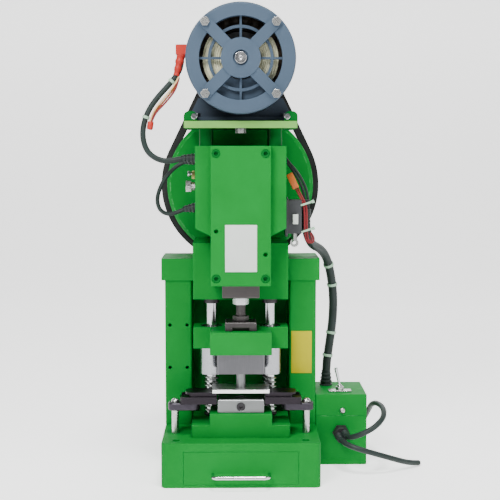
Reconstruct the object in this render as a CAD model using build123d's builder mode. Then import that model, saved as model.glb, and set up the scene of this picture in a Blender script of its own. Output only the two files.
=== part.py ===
from build123d import *
import math
import os

os.makedirs("parts", exist_ok=True)

# Bench-top stamping press, in millimetres. +X is right, +Y is the back and +Z is up.
# The origin is the middle of the base's underside.

# Clearances and the overrun that every cut shares
cut_overrun = 2
running_clearance = 0.05
seat_clearance = 0.02
sliding_clearance = 0.4
belt_clearance = 0.3

# Base with its drawer pocket and scrap chute
base_width = 220
base_depth = 260
base_height = 62.5
base_floor = 4
base_corner_radius = 8
base_edge_radius = 2
anchor_spacing_x = 180
anchor_spacing_y = 224
anchor_hole_radius = 5.5
chute_width = 70
chute_depth = 32

# Scrap drawer and its bent-rod handle
drawer_width = 158
drawer_length = 170
drawer_height = 46
drawer_wall = 1.5
drawer_front_thickness = 4
handle_span = 78
handle_rod_radius = 2.5
handle_reach = 20
handle_height = 19
handle_bend_radius = 7

# Column, a channel open to the front
column_width = 220
column_depth = 88
column_height = 212.5
column_setback = 113
column_corner_radius = 3
throat_width = 142
throat_depth = 55
cheek_hole_radius = 2.5
cheek_hole_depth = 12
cheek_hole_spacing_x = 25
cheek_hole_spacing_z = 62.5
cheek_hole_height = 115.5

# Head casting: flange on the column, nose over the pillars, housing round the crank
flange_width = 230
flange_thickness = 31.5
flange_lip = 3
nose_width = 137
nose_drop = 25
nose_rise = 24.5
nose_setback = 89
nose_length = 36
neck_width = 84
neck_height = 13
housing_width = 126
housing_slope_height = 11
housing_height = 114
head_setback = 42
head_edge_radius = 1.5

# Front cover with counterbored screws
cover_width = 83
cover_thickness = 15
cover_bottom_rise = 1
cover_screw_inset_x = 7.5
cover_screw_inset_z = 10.5
cover_pin_hole_radius = 3
cover_pin_hole_depth = 6
cover_upper_pin_height = 76
cover_lower_pin_height = 44
socket_head_radius = 5.6
socket_head_height = 8
socket_shank_radius = 4
socket_shank_length = 21
socket_recess_radius = 3.4
socket_recess_depth = 4
counterbore_radius = 6.1
counterbore_depth = 8.6

# Crank drive: throw, pin, roller and plain bearings
crank_axis_height = 104
crank_throw = 10
crank_pin_radius = 7
crank_pin_length = 24
crank_disc_radius = 26
crank_disc_length = 11
crank_cavity_margin = 4
crank_end_gap = 0.5
crank_journal_radius = 17.5
crank_tail_radius = 15
roller_radius = 10
roller_length = 20
bearing_radius = 25
bearing_length = 30
shaft_nut_radius = 19
shaft_nut_length = 9

# Plunger that slides in the head, slotted for the crank roller
plunger_width = 52
plunger_depth = 36
plunger_projection = 19
plunger_height = 183
plunger_headroom = 10
plunger_slot_play = 2.6
plunger_slot_side_play = 0.5
plunger_slot_depth = 27

# Adjusting stud, its nuts and the coupling block on the upper shoe
stud_radius = 6.75
stud_grip = 28
nut_radius = 11.5
upper_nut_height = 10
lower_nut_height = 7
coupling_width = 44
coupling_depth = 38
coupling_height = 13
coupling_slot_share = 0.25
coupling_slot_width = 24
coupling_slot_depth = 5

# Tool: bolster, die, stripper, punches and the pillar-guided upper shoe
bolster_width = 138
bolster_setback = 31
bolster_depth = 90
bolster_flange_height = 17.5
bolster_block_width = 87
bolster_block_depth = 54
bolster_block_height = 16
die_width = 65
die_depth = 44
die_height = 19
die_screw_height = 9
die_screw_web = 2.5
stripper_width = 80
stripper_thickness = 5
feed_gap = 9
punch_radius = 6.5
punch_spacing = 18
punch_count = 1
punch_hole_clearance = 0.3
punch_entry = 3
chute_slot_width = 66
chute_slot_margin = 3
shoe_front_width = 86
shoe_wing_width = 136
shoe_thickness = 31
shoe_front_setback = 27
shoe_wing_setback = 82
shoe_wing_depth = 38
shoe_edge_radius = 2
punch_plate_width = 67
punch_plate_height = 29
ram_daylight = 22

# Pillars with bushes, stroke springs and stop collars
pillar_radius = 8
pillar_spacing = 84
pillar_setback = 101
pillar_grip = 20
pillar_seat_depth = 14
bush_radius = 16.5
bush_projection = 39
collar_radius = 11
collar_height = 4
stop_ring_height = 6
spring_wire_radius = 1.1
spring_mean_radius = 9.75
spring_turns = 7

# Feed guides: posts on the base, arms on the posts and rails on the arms
post_radius = 5
post_spacing = 186
post_height = 34.5
arm_inner_reach = 58
arm_outer_reach = 103
arm_depth = 22
arm_thickness = 11
arm_end_radius = 9
rail_inner_reach = 34
rail_outer_reach = 86
rail_depth = 40
rail_lip_height = 6
rail_lip_setback = 8
rail_nose_radius = 10
feed_slot_width = 30
feed_slot_height = 6

# Brake in the left side of the head, pressed on the crankshaft by a spring
brake_setback = 145
brake_bore_radius = 10
brake_pad_length = 12
brake_spring_length = 18
brake_spring_radius = 7
brake_spring_wire_radius = 1.4
brake_spring_turns = 4
brake_neck_radius = 6
brake_neck_length = 9
brake_head_radius = 9.5
brake_head_length = 8

# Flywheel and V-belt
flywheel_setback = 215
flywheel_width = 40
flywheel_radius = 112
flywheel_edge = 5
flywheel_rim_depth = 30
flywheel_web = 14
flywheel_hub_radius = 34
flywheel_hub_length = 50
flywheel_bush_radius = 20
belt_width = 17
belt_thickness = 11
belt_flank_angle = 19
belt_flywheel_radius = 121
belt_pulley_radius = 44
groove_root_gap = 2
pulley_rim_gap = 4
pulley_width = 28
pulley_hub_radius = 20
pulley_hub_length = 12

# Motor, on its plate over the head
motor_axis_height = 118.5
motor_radius = 75
motor_belt_gap = 40
shell_wall = 11
shell_length = 148
shield_thickness = 14
rear_shield_thickness = 13
shield_edge_radius = 3
vent_radius = 56.5
vent_ring_radius = 42.7
vent_ring_width = 4
vent_web_thickness = 6
shield_hub_radius = 27
shield_hub_projection = 3
spoke_width = 16
spoke_thickness = 13
spoke_proud = 2
spoke_end_gap = 2
shaft_recess_clearance = 2.5
shaft_recess_depth = 3
vent_rib_width = 3
shield_bolt_circle_radius = 68
shield_bolt_radius = 3
shield_bolt_length = 34
rear_vent_inner_radius = 34
rear_vent_width = 14
stator_bore_radius = 42
stator_setback_share = 0.311
stator_length_share = 0.473
winding_inner_radius = 45
winding_outer_radius = 60
winding_overhang_share = 0.189
rotor_gap = 1
motor_shaft_radius = 8
motor_shaft_front_length = 2
shaft_centre_radius = 2.2
shaft_centre_depth = 5
motor_plate_width = 157
motor_plate_thickness = 9.7
motor_plate_gap = 10
plate_front_margin = 20
plate_lug_width = 18
plate_lug_depth = 15
plate_lug_height = 13.5
plate_lug_radius = 7
plate_lug_setback = 2
support_height = 24.5
support_radius = 9
support_spacing_x = 98
support_spacing_y = 100
saddle_side_inset = 3.5
saddle_flange_thickness = 6
saddle_front_inset = 28
saddle_back_inset = 2
saddle_foot_inset = 2
saddle_top_width = 119
saddle_height = 33
saddle_block_inset = 22
saddle_bolt_side_inset = 11
saddle_bolt_inset = 11
hex_bolt_radius = 4
hex_head_radius = 8
hex_head_height = 5.5
shield_head_radius = 6.5
shield_head_height = 4.5
jack_bolt_setback = 52
jack_head_radius = 7.5
jack_head_height = 7

# Solenoid trip on the right of the head
solenoid_width = 20
solenoid_depth = 30
solenoid_height = 48
solenoid_setback = 95
solenoid_drop = 10
solenoid_edge_radius = 1.5
bracket_thickness = 4
bracket_margin = 4
trip_rod_radius = 4
trip_rod_length = 34
trip_rod_projection = 14
trip_eye_radius = 6
trip_eye_hole_radius = 2.5
trip_eye_thickness = 5
trip_stroke = 8
connector_width = 12
connector_depth = 14
connector_height = 14
terminal_width = 16
terminal_rise = 10

# Control box against the base and column
box_width = 76
box_depth = 95
box_height = 73
box_setback = 117
box_wall = 2.5
box_corner_radius = 2
lid_height = 32
toggle_setback = 24
toggle_plate_width = 34
toggle_plate_depth = 15
toggle_plate_thickness = 2
toggle_neck_radius = 6
toggle_neck_height = 5
toggle_ball_radius = 4
toggle_length = 27
toggle_tip_radius = 2.6
toggle_root_radius = 1.6
toggle_tilt = 12
gland_radius = 11
gland_flange_radius = 13
gland_flange_thickness = 3
gland_length = 12
gland_height = 48

# Cords: diameters, ties, and the mains lead's coil and plug
loom_diameter = 13
motor_lead_diameter = 8
sensor_lead_diameter = 6
mains_diameter = 8
coil_chamfer_share = 0.25
pedal_lead_diameter = 8
tie_thickness = 1
tie_width = 4
coil_radius = 44
coil_columns = 2
coil_layers = 3
plug_length = 38
plug_width = 26
plug_height = 20
plug_edge_radius = 4
plug_pin_length = 16
plug_pin_width = 6
plug_pin_thickness = 1.6
plug_pin_spacing = 12.7
bend_share = 0.45
tie_slack = 0.3
loom_tie_runs = [5, 6, 8, 9]
lead_tie_runs = [2, 5]

# Levels and stations that follow from the sizes above
front_y = -base_depth / 2
column_front_y = front_y + column_setback
column_rear_y = column_front_y + column_depth
column_top_z = base_height + column_height
flange_top_z = column_top_z + flange_thickness
nose_bottom_z = column_top_z - nose_drop
nose_top_z = flange_top_z + nose_rise
neck_top_z = nose_top_z + neck_height
housing_bottom_z = neck_top_z + housing_slope_height
head_top_z = housing_bottom_z + housing_height
nose_front_y = front_y + nose_setback
head_front_y = front_y + head_setback
cover_bottom_z = column_top_z + cover_bottom_rise
cover_height = head_top_z - cover_bottom_z
cover_front_y = head_front_y - cover_thickness
cover_screw_spacing_x = cover_width - 2 * cover_screw_inset_x
cover_screw_spacing_z = cover_height - 2 * cover_screw_inset_z
cover_middle_z = cover_bottom_z + cover_height / 2
crank_z = flange_top_z + crank_axis_height
tool_y = head_front_y + plunger_depth / 2
channel_back_y = head_front_y + plunger_depth
crank_disc_front_y = channel_back_y + crank_end_gap
crank_disc_back_y = crank_disc_front_y + crank_disc_length
cavity_back_y = crank_disc_back_y + crank_end_gap
plunger_bottom_z = cover_bottom_z - plunger_projection
plunger_top_z = plunger_bottom_z + plunger_height
pillar_y = front_y + pillar_setback
bolster_front_y = front_y + bolster_setback
flange_face_z = base_height + bolster_flange_height
bolster_top_z = flange_face_z + bolster_block_height
die_top_z = bolster_top_z + die_height
stripper_bottom_z = die_top_z + feed_gap
stripper_top_z = stripper_bottom_z + stripper_thickness
punch_plate_bottom_z = stripper_top_z + ram_daylight
shoe_bottom_z = punch_plate_bottom_z + punch_plate_height
shoe_top_z = shoe_bottom_z + shoe_thickness
coupling_top_z = shoe_top_z + coupling_height
brake_y = front_y + brake_setback
flywheel_front_y = front_y + flywheel_setback
belt_y = flywheel_front_y + flywheel_width / 2
hub_front_y = belt_y - flywheel_hub_length / 2
hub_back_y = belt_y + flywheel_hub_length / 2
motor_z = head_top_z + motor_axis_height
shell_back_y = belt_y - motor_belt_gap - rear_shield_thickness
shell_front_y = shell_back_y - shell_length
shield_front_y = shell_front_y - shield_thickness
spoke_front_y = shield_front_y - spoke_proud
stator_front_y = shell_front_y + shell_length * stator_setback_share
stator_back_y = stator_front_y + shell_length * stator_length_share
winding_overhang = shell_length * winding_overhang_share
plate_bottom_z = head_top_z + support_height
plate_top_z = plate_bottom_z + motor_plate_thickness
saddle_back_y = shell_back_y - saddle_back_inset
saddle_depth = shell_length - saddle_front_inset - saddle_back_inset
saddle_middle_y = saddle_back_y - saddle_depth / 2
saddle_flange_width = motor_plate_width - saddle_side_inset * 2
saddle_foot_width = saddle_flange_width - saddle_foot_inset * 2
saddle_bolt_spacing_x = saddle_flange_width - saddle_bolt_side_inset * 2
saddle_bolt_spacing_y = saddle_depth - saddle_bolt_inset * 2
plate_front_y = saddle_back_y - saddle_depth - plate_front_margin
plate_back_y = hub_front_y - motor_plate_gap
plate_middle_y = (plate_front_y + plate_back_y) / 2
motor_plate_depth = plate_back_y - plate_front_y
box_left_x = base_width / 2
box_middle_x = box_left_x + box_width / 2
box_front_y = front_y + box_setback
box_middle_y = box_front_y + box_depth / 2
box_top_z = box_height + lid_height


def level(height):
    """Horizontal plane at a height."""
    return Plane.XY.offset(height)


def facing_front(y):
    """Upright plane across the press at a station; its normal points to the front."""
    return Plane.XZ.offset(-y)


def facing_right(x):
    """Upright plane along the press at a distance from the middle; its normal points right."""
    return Plane.YZ.offset(x)


def turned(outline, axis_height):
    """Revolve (station, radius) points about a level axis that runs front to back."""
    plane = Plane(origin=(0, 0, axis_height), x_dir=(0, 1, 0), z_dir=(1, 0, 0))
    with BuildPart() as blank:
        with BuildSketch(plane):
            with BuildLine():
                Polyline(*outline, close=True)
            make_face()
        revolve(axis=Axis((0, 0, axis_height), (0, 1, 0)))
    return blank.part


def coil_spring(wire_radius, mean_radius, length, turns):
    """Helical spring standing on the XY plane, with its wire inside the length."""
    lift = length - 2 * wire_radius
    with BuildPart() as blank:
        with BuildLine(level(wire_radius)):
            helix = Helix(pitch=lift / turns, height=lift, radius=mean_radius)
        with BuildSketch(Plane(origin=helix @ 0, z_dir=helix % 0)):
            RegularPolygon(radius=wire_radius, side_count=6)
        sweep(path=helix, is_frenet=True)
    return blank.part


def finish(piece, name):
    """Label a finished piece and write it."""
    piece.label = name
    export_step(piece, f"parts/{name}.step")


# Base: a cast box with the drawer pocket, the scrap chute and four anchor holes
pocket_width = drawer_width + 2 * sliding_clearance
pocket_height = drawer_height + 2 * sliding_clearance
pocket_depth = drawer_length + sliding_clearance
with BuildPart() as base:
    with BuildSketch():
        RectangleRounded(base_width, base_depth, base_corner_radius)
    extrude(amount=base_height)
    fillet(base.edges().group_by(Axis.Z)[-1], radius=base_edge_radius)
    with BuildSketch(facing_front(front_y + pocket_depth)):
        with Locations((0, base_floor + pocket_height / 2)):
            Rectangle(pocket_width, pocket_height)
    extrude(amount=pocket_depth, mode=Mode.SUBTRACT)
    with BuildSketch(level(base_height)):
        with Locations((0, tool_y)):
            Rectangle(chute_width, chute_depth)
    extrude(amount=-(base_height - base_floor - pocket_height / 2), mode=Mode.SUBTRACT)
    with Locations(level(base_height)):
        with GridLocations(anchor_spacing_x, anchor_spacing_y, 2, 2):
            Hole(anchor_hole_radius)
finish(base.part, "base")

# Scrap drawer: a folded tray with a thicker front
drawer_bottom_z = base_floor + sliding_clearance
with BuildPart() as drawer:
    with BuildSketch(level(drawer_bottom_z)):
        with Locations((0, front_y + drawer_length / 2)):
            Rectangle(drawer_width, drawer_length)
    extrude(amount=drawer_height)
    with BuildSketch(level(drawer_bottom_z + drawer_wall)):
        with Locations((0, front_y + (drawer_length + drawer_front_thickness - drawer_wall) / 2)):
            Rectangle(drawer_width - 2 * drawer_wall, drawer_length - drawer_front_thickness - drawer_wall)
    extrude(amount=drawer_height, mode=Mode.SUBTRACT)
finish(drawer.part, "drawer")

with BuildPart() as drawer_handle:
    grip_y = front_y - handle_reach + handle_rod_radius
    with BuildLine(level(handle_height)):
        FilletPolyline(
            (-handle_span / 2, front_y),
            (-handle_span / 2, grip_y),
            (handle_span / 2, grip_y),
            (handle_span / 2, front_y),
            radius=handle_bend_radius,
        )
    with BuildSketch(Plane(origin=(-handle_span / 2, front_y, handle_height), z_dir=(0, -1, 0))):
        Circle(handle_rod_radius)
    sweep()
finish(drawer_handle.part, "drawer_handle")

# Column: two cheeks and a back wall, with a fixing pattern in the left cheek
with BuildPart() as column:
    with BuildSketch(level(base_height)):
        with Locations((0, column_front_y + column_depth / 2)):
            Rectangle(column_width, column_depth)
        with Locations((0, column_front_y + throat_depth / 2)):
            Rectangle(throat_width, throat_depth, mode=Mode.SUBTRACT)
    extrude(amount=column_height)
    fillet(column.edges().filter_by(Axis.Z), radius=column_corner_radius)
    cheek_middle_x = -(column_width + throat_width) / 2 / 2
    with BuildSketch(facing_front(column_front_y)):
        with Locations((cheek_middle_x, base_height + cheek_hole_height)):
            with GridLocations(cheek_hole_spacing_x, cheek_hole_spacing_z, 2, 2):
                Circle(cheek_hole_radius)
    extrude(amount=-cheek_hole_depth, mode=Mode.SUBTRACT)
finish(column.part, "column")

# Head: one casting of flange, nose and crank housing, bored for everything that it carries
with BuildPart() as head:
    with BuildSketch(level(column_top_z)):
        with Locations((0, (column_front_y + column_rear_y) / 2)):
            RectangleRounded(flange_width, column_depth + 2 * flange_lip, column_corner_radius)
    extrude(amount=flange_thickness)
    with BuildSketch(level(nose_bottom_z)):
        with Locations((0, nose_front_y + nose_length / 2)):
            RectangleRounded(nose_width, nose_length, column_corner_radius)
    extrude(amount=nose_top_z - nose_bottom_z)
    with BuildSketch(facing_front(column_rear_y)):
        with BuildLine():
            Polyline(
                (0, flange_top_z),
                (nose_width / 2, flange_top_z),
                (nose_width / 2, nose_top_z),
                (neck_width / 2, nose_top_z),
                (neck_width / 2, neck_top_z),
                (housing_width / 2, housing_bottom_z),
                (housing_width / 2, head_top_z),
                (0, head_top_z),
                close=True,
            )
        make_face()
        mirror(about=Plane.YZ)
    extrude(amount=column_rear_y - nose_front_y - column_corner_radius)
    with BuildSketch(facing_front(nose_front_y + nose_length / 2)):
        with BuildLine():
            Polyline(
                (0, cover_bottom_z),
                (cover_width / 2, cover_bottom_z),
                (cover_width / 2, neck_top_z),
                (housing_width / 2, housing_bottom_z),
                (housing_width / 2, head_top_z),
                (0, head_top_z),
                close=True,
            )
        make_face()
        mirror(about=Plane.YZ)
    extrude(amount=nose_front_y + nose_length / 2 - head_front_y)
    channel_top_z = plunger_top_z + plunger_headroom
    with BuildSketch(facing_front(channel_back_y)):
        with Locations((0, (nose_bottom_z + channel_top_z) / 2)):
            Rectangle(plunger_width + 2 * running_clearance, channel_top_z - nose_bottom_z)
    extrude(amount=plunger_depth + cut_overrun, mode=Mode.SUBTRACT)
    with BuildSketch(facing_front(cavity_back_y)):
        with Locations((0, crank_z)):
            Circle(crank_disc_radius + crank_cavity_margin)
    extrude(amount=cavity_back_y - channel_back_y, mode=Mode.SUBTRACT)
    with BuildSketch(facing_front(column_rear_y + cut_overrun)):
        with Locations((0, crank_z)):
            Circle(bearing_radius + seat_clearance)
    extrude(amount=column_rear_y + cut_overrun - cavity_back_y, mode=Mode.SUBTRACT)
    with BuildSketch(facing_right(-housing_width / 2)):
        with Locations((brake_y, crank_z)):
            Circle(brake_bore_radius)
    extrude(amount=housing_width / 2 - crank_journal_radius, mode=Mode.SUBTRACT)
    with BuildSketch(level(nose_bottom_z)):
        with Locations((0, pillar_y)):
            with GridLocations(pillar_spacing, pillar_spacing, 2, 1):
                Circle(pillar_radius + seat_clearance)
    extrude(amount=pillar_grip, mode=Mode.SUBTRACT)
    with BuildSketch(facing_front(head_front_y)):
        with Locations((0, cover_middle_z)):
            with GridLocations(cover_screw_spacing_x, cover_screw_spacing_z, 2, 2):
                Circle(socket_shank_radius + seat_clearance)
    tapped_depth = socket_shank_length - cover_thickness + counterbore_depth + cut_overrun
    extrude(amount=-tapped_depth, mode=Mode.SUBTRACT)
finish(head.part, "head")

# Front cover over the plunger channel, with counterbored holes and two pin holes
with BuildPart() as front_cover:
    with BuildSketch(facing_front(head_front_y)):
        with Locations((0, cover_middle_z)):
            Rectangle(cover_width, cover_height)
    extrude(amount=cover_thickness)
    fillet(front_cover.faces().sort_by(Axis.Y)[0].edges(), radius=head_edge_radius)
    with Locations(facing_front(cover_front_y)):
        with Locations((0, cover_middle_z)):
            with GridLocations(cover_screw_spacing_x, cover_screw_spacing_z, 2, 2):
                CounterBoreHole(socket_shank_radius + seat_clearance, counterbore_radius, counterbore_depth)
    with BuildSketch(facing_front(cover_front_y)):
        with Locations((-cover_screw_spacing_x / 2, cover_bottom_z + cover_upper_pin_height)):
            Circle(cover_pin_hole_radius)
        with Locations((cover_screw_spacing_x / 2, cover_bottom_z + cover_lower_pin_height)):
            Circle(cover_pin_hole_radius)
    extrude(amount=-cover_pin_hole_depth, mode=Mode.SUBTRACT)
finish(front_cover.part, "front_cover")

# Socket screws: four in the cover and one in the front of the die block
die_front_y = tool_y - die_depth / 2
die_screw_z = bolster_top_z + die_screw_height
screw_seat_y = cover_front_y + counterbore_depth
screw_seats = [
    (x * cover_screw_spacing_x / 2, screw_seat_y, cover_middle_z + z * cover_screw_spacing_z / 2)
    for x in (-1, 1)
    for z in (-1, 1)
]
shank_lengths = [socket_shank_length for seat in screw_seats]
punch_hole_radius = punch_radius + punch_hole_clearance
die_shank_length = die_depth / 2 - counterbore_depth - punch_hole_radius - die_screw_web
screw_seats.append((0, die_front_y + counterbore_depth, die_screw_z))
shank_lengths.append(die_shank_length)
with BuildPart() as socket_screws:
    for seat, shank_length in zip(screw_seats, shank_lengths):
        with BuildSketch(Plane(origin=seat, x_dir=(1, 0, 0), z_dir=(0, -1, 0))):
            Circle(socket_head_radius)
            RegularPolygon(socket_recess_radius, side_count=6, mode=Mode.SUBTRACT)
        extrude(amount=socket_head_height)
        with BuildSketch(Plane(origin=seat, x_dir=(1, 0, 0), z_dir=(0, -1, 0))):
            Circle(socket_head_radius)
        extrude(amount=socket_head_height - socket_recess_depth)
        with BuildSketch(Plane(origin=seat, x_dir=(1, 0, 0), z_dir=(0, -1, 0))):
            Circle(socket_shank_radius)
        extrude(amount=-shank_length)
finish(socket_screws.part, "socket_screws")

# Bolster: a flange that holds the pillars and a block under the die, slotted for the scrap
slot_depth = 2 * (punch_radius + chute_slot_margin)
with BuildPart() as bolster:
    with BuildSketch(level(base_height)):
        with Locations((0, bolster_front_y + bolster_depth / 2)):
            Rectangle(bolster_width, bolster_depth)
    extrude(amount=bolster_flange_height)
    fillet(bolster.edges().filter_by(Axis.Z), radius=column_corner_radius)
    with BuildSketch(level(flange_face_z)):
        with Locations((0, bolster_front_y + bolster_block_depth / 2)):
            Rectangle(bolster_block_width, bolster_block_depth)
    extrude(amount=bolster_block_height)
    fillet(bolster.edges().group_by(Axis.Z)[-1], radius=head_edge_radius)
    with BuildSketch(level(bolster_top_z)):
        with Locations((0, tool_y)):
            Rectangle(chute_slot_width, slot_depth)
    extrude(amount=-(bolster_block_height + bolster_flange_height), mode=Mode.SUBTRACT)
    with BuildSketch(level(flange_face_z)):
        with Locations((0, pillar_y)):
            with GridLocations(pillar_spacing, pillar_spacing, 2, 1):
                Circle(pillar_radius + seat_clearance)
    extrude(amount=-pillar_seat_depth, mode=Mode.SUBTRACT)
finish(bolster.part, "bolster")

# Die block, pierced under each punch, with one counterbored screw in its front
with BuildPart() as die_block:
    with BuildSketch(level(bolster_top_z)):
        with Locations((0, tool_y)):
            Rectangle(die_width, die_depth)
    extrude(amount=die_height)
    chamfer(die_block.edges().group_by(Axis.Z)[-1], length=head_edge_radius)
    with BuildSketch(level(die_top_z)):
        with Locations((0, tool_y)):
            with GridLocations(punch_spacing, punch_spacing, punch_count, 1):
                Circle(punch_radius + punch_hole_clearance)
    extrude(amount=-die_height, mode=Mode.SUBTRACT)
    with Locations(facing_front(die_front_y)):
        with Locations((0, die_screw_z)):
            CounterBoreHole(
                socket_shank_radius + seat_clearance,
                counterbore_radius,
                counterbore_depth,
                depth=counterbore_depth + die_shank_length + seat_clearance,
            )
finish(die_block.part, "die_block")

# Stripper plate across the inner ends of the rails, with a hole for each punch
with BuildPart() as stripper_plate:
    with BuildSketch(level(stripper_bottom_z)):
        with Locations((0, tool_y)):
            Rectangle(stripper_width, die_depth)
            with GridLocations(punch_spacing, punch_spacing, punch_count, 1):
                Circle(punch_radius + punch_hole_clearance, mode=Mode.SUBTRACT)
    extrude(amount=stripper_thickness)
finish(stripper_plate.part, "stripper_plate")

# Feed guides, one set on each side
arm_bottom_z = base_height + post_height
rail_bottom_z = arm_bottom_z + arm_thickness
rail_height = stripper_bottom_z - rail_bottom_z
with BuildPart() as guide_posts:
    with BuildSketch(level(base_height)):
        with Locations((0, tool_y)):
            with GridLocations(post_spacing, post_spacing, 2, 1):
                Circle(post_radius)
    extrude(amount=post_height)
finish(guide_posts.part, "guide_posts")

with BuildPart() as guide_arms:
    with BuildSketch(level(arm_bottom_z)):
        with Locations(((arm_inner_reach + arm_outer_reach) / 2, tool_y)):
            RectangleRounded(arm_outer_reach - arm_inner_reach, arm_depth, arm_end_radius)
        mirror(about=Plane.YZ)
    extrude(amount=arm_thickness)
    chamfer(guide_arms.edges().group_by(Axis.Z)[-1], length=head_edge_radius)
finish(guide_arms.part, "guide_arms")

with BuildPart() as feed_rails:
    rail_middle_x = (rail_inner_reach + rail_outer_reach) / 2
    with BuildSketch(level(rail_bottom_z)) as rail_plan:
        with Locations((rail_middle_x, tool_y)):
            Rectangle(rail_outer_reach - rail_inner_reach, rail_depth)
        fillet(rail_plan.vertices().group_by(Axis.X)[-1], radius=rail_nose_radius)
        mirror(about=Plane.YZ)
    extrude(amount=rail_height - rail_lip_height)
    with BuildSketch(level(stripper_bottom_z - rail_lip_height)) as lip_plan:
        with Locations((rail_middle_x - rail_lip_setback / 2, tool_y)):
            Rectangle(rail_outer_reach - rail_inner_reach - rail_lip_setback, rail_depth - rail_lip_setback)
        fillet(lip_plan.vertices().group_by(Axis.X)[-1], radius=rail_nose_radius)
        mirror(about=Plane.YZ)
    extrude(amount=rail_lip_height)
    with BuildSketch(facing_right(-rail_outer_reach)):
        with Locations((tool_y, die_top_z + feed_slot_height / 2)):
            Rectangle(feed_slot_width, feed_slot_height)
    extrude(amount=2 * rail_outer_reach, mode=Mode.SUBTRACT)
finish(feed_rails.part, "feed_rails")

# Pillars between bolster and nose, with their collars and stroke springs
with BuildPart() as pillars:
    with BuildSketch(level(flange_face_z - pillar_seat_depth)):
        with Locations((0, pillar_y)):
            with GridLocations(pillar_spacing, pillar_spacing, 2, 1):
                Circle(pillar_radius)
    extrude(amount=nose_bottom_z + pillar_grip - flange_face_z + pillar_seat_depth)
finish(pillars.part, "pillars")

with BuildPart() as pillar_collars:
    stop_ring_bottom_z = nose_bottom_z - stop_ring_height
    for bottom, height in ((flange_face_z, collar_height), (stop_ring_bottom_z, stop_ring_height)):
        with BuildSketch(level(bottom)):
            with Locations((0, pillar_y)):
                with GridLocations(pillar_spacing, pillar_spacing, 2, 1):
                    Circle(collar_radius)
                    Circle(pillar_radius + seat_clearance, mode=Mode.SUBTRACT)
        extrude(amount=height)
finish(pillar_collars.part, "pillar_collars")

spring_bottom_z = flange_face_z + collar_height
bush_bottom_z = shoe_bottom_z - bush_projection
spring_length = bush_bottom_z - spring_bottom_z
stroke_spring = coil_spring(spring_wire_radius, spring_mean_radius, spring_length, spring_turns)
with BuildPart() as pillar_springs:
    with Locations(*[(x * pillar_spacing / 2, pillar_y, spring_bottom_z) for x in (-1, 1)]):
        add(stroke_spring)
finish(pillar_springs.part, "pillar_springs")

# Upper shoe: a T in plan, bored for the guide bushes
shoe_front_y = front_y + shoe_front_setback
wing_front_y = front_y + shoe_wing_setback
with BuildPart() as upper_shoe:
    with BuildSketch(level(shoe_bottom_z)) as shoe_plan:
        with Locations((0, (shoe_front_y + wing_front_y + shoe_wing_depth) / 2)):
            Rectangle(shoe_front_width, wing_front_y + shoe_wing_depth - shoe_front_y)
        with Locations((0, wing_front_y + shoe_wing_depth / 2)):
            Rectangle(shoe_wing_width, shoe_wing_depth)
        fillet(shoe_plan.vertices(), radius=shoe_edge_radius)
    extrude(amount=shoe_thickness)
    fillet(upper_shoe.edges().group_by(Axis.Z)[-1], radius=head_edge_radius)
    with BuildSketch(level(shoe_top_z)):
        with Locations((0, pillar_y)):
            with GridLocations(pillar_spacing, pillar_spacing, 2, 1):
                Circle(bush_radius + seat_clearance)
    extrude(amount=-shoe_thickness, mode=Mode.SUBTRACT)
finish(upper_shoe.part, "upper_shoe")

with BuildPart() as guide_bushes:
    with BuildSketch(level(bush_bottom_z)):
        with Locations((0, pillar_y)):
            with GridLocations(pillar_spacing, pillar_spacing, 2, 1):
                Circle(bush_radius)
                Circle(pillar_radius + running_clearance, mode=Mode.SUBTRACT)
    extrude(amount=shoe_top_z - bush_bottom_z)
finish(guide_bushes.part, "guide_bushes")

# Punch plate and its row of punches, which stand just inside the stripper
with BuildPart() as punch_plate:
    with BuildSketch(level(punch_plate_bottom_z)):
        with Locations((0, tool_y)):
            Rectangle(punch_plate_width, die_depth)
            with GridLocations(punch_spacing, punch_spacing, punch_count, 1):
                Circle(punch_radius + seat_clearance, mode=Mode.SUBTRACT)
    extrude(amount=punch_plate_height)
    chamfer(punch_plate.edges().filter_by(Axis.Z).group_by(Axis.Y)[0], length=head_edge_radius)
finish(punch_plate.part, "punch_plate")

with BuildPart() as punches:
    punch_tip_z = stripper_top_z - punch_entry
    with BuildSketch(level(punch_tip_z)):
        with Locations((0, tool_y)):
            with GridLocations(punch_spacing, punch_spacing, punch_count, 1):
                Circle(punch_radius)
    extrude(amount=shoe_bottom_z - punch_tip_z)
finish(punches.part, "punches")

# Plunger: a bar with a cross slot for the crank roller and a bore for the stud
roller_z = crank_z + crank_throw
with BuildPart() as plunger:
    with BuildSketch(level(plunger_bottom_z)):
        with Locations((0, tool_y)):
            Rectangle(plunger_width, plunger_depth - 2 * running_clearance)
            Circle(stud_radius + seat_clearance, mode=Mode.SUBTRACT)
    extrude(amount=stud_grip)
    with BuildSketch(level(plunger_bottom_z + stud_grip)):
        with Locations((0, tool_y)):
            Rectangle(plunger_width, plunger_depth - 2 * running_clearance)
    extrude(amount=plunger_height - stud_grip)
    chamfer(plunger.edges().group_by(Axis.Z)[0].filter_by(GeomType.LINE), length=head_edge_radius)
    with BuildSketch(facing_front(channel_back_y)):
        with Locations((0, roller_z)):
            Rectangle(
                2 * (crank_throw + roller_radius + plunger_slot_side_play),
                2 * (roller_radius + plunger_slot_play),
            )
    extrude(amount=plunger_slot_depth, mode=Mode.SUBTRACT)
finish(plunger.part, "plunger")

# Adjusting stud from the plunger to the coupling block, with a lock nut at each end
coupling_slot_z = coupling_top_z - coupling_slot_depth
with BuildPart() as ram_stud:
    with BuildSketch(level(coupling_slot_z)):
        with Locations((0, tool_y)):
            Circle(stud_radius)
    extrude(amount=plunger_bottom_z + stud_grip - coupling_slot_z)
finish(ram_stud.part, "ram_stud")

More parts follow.
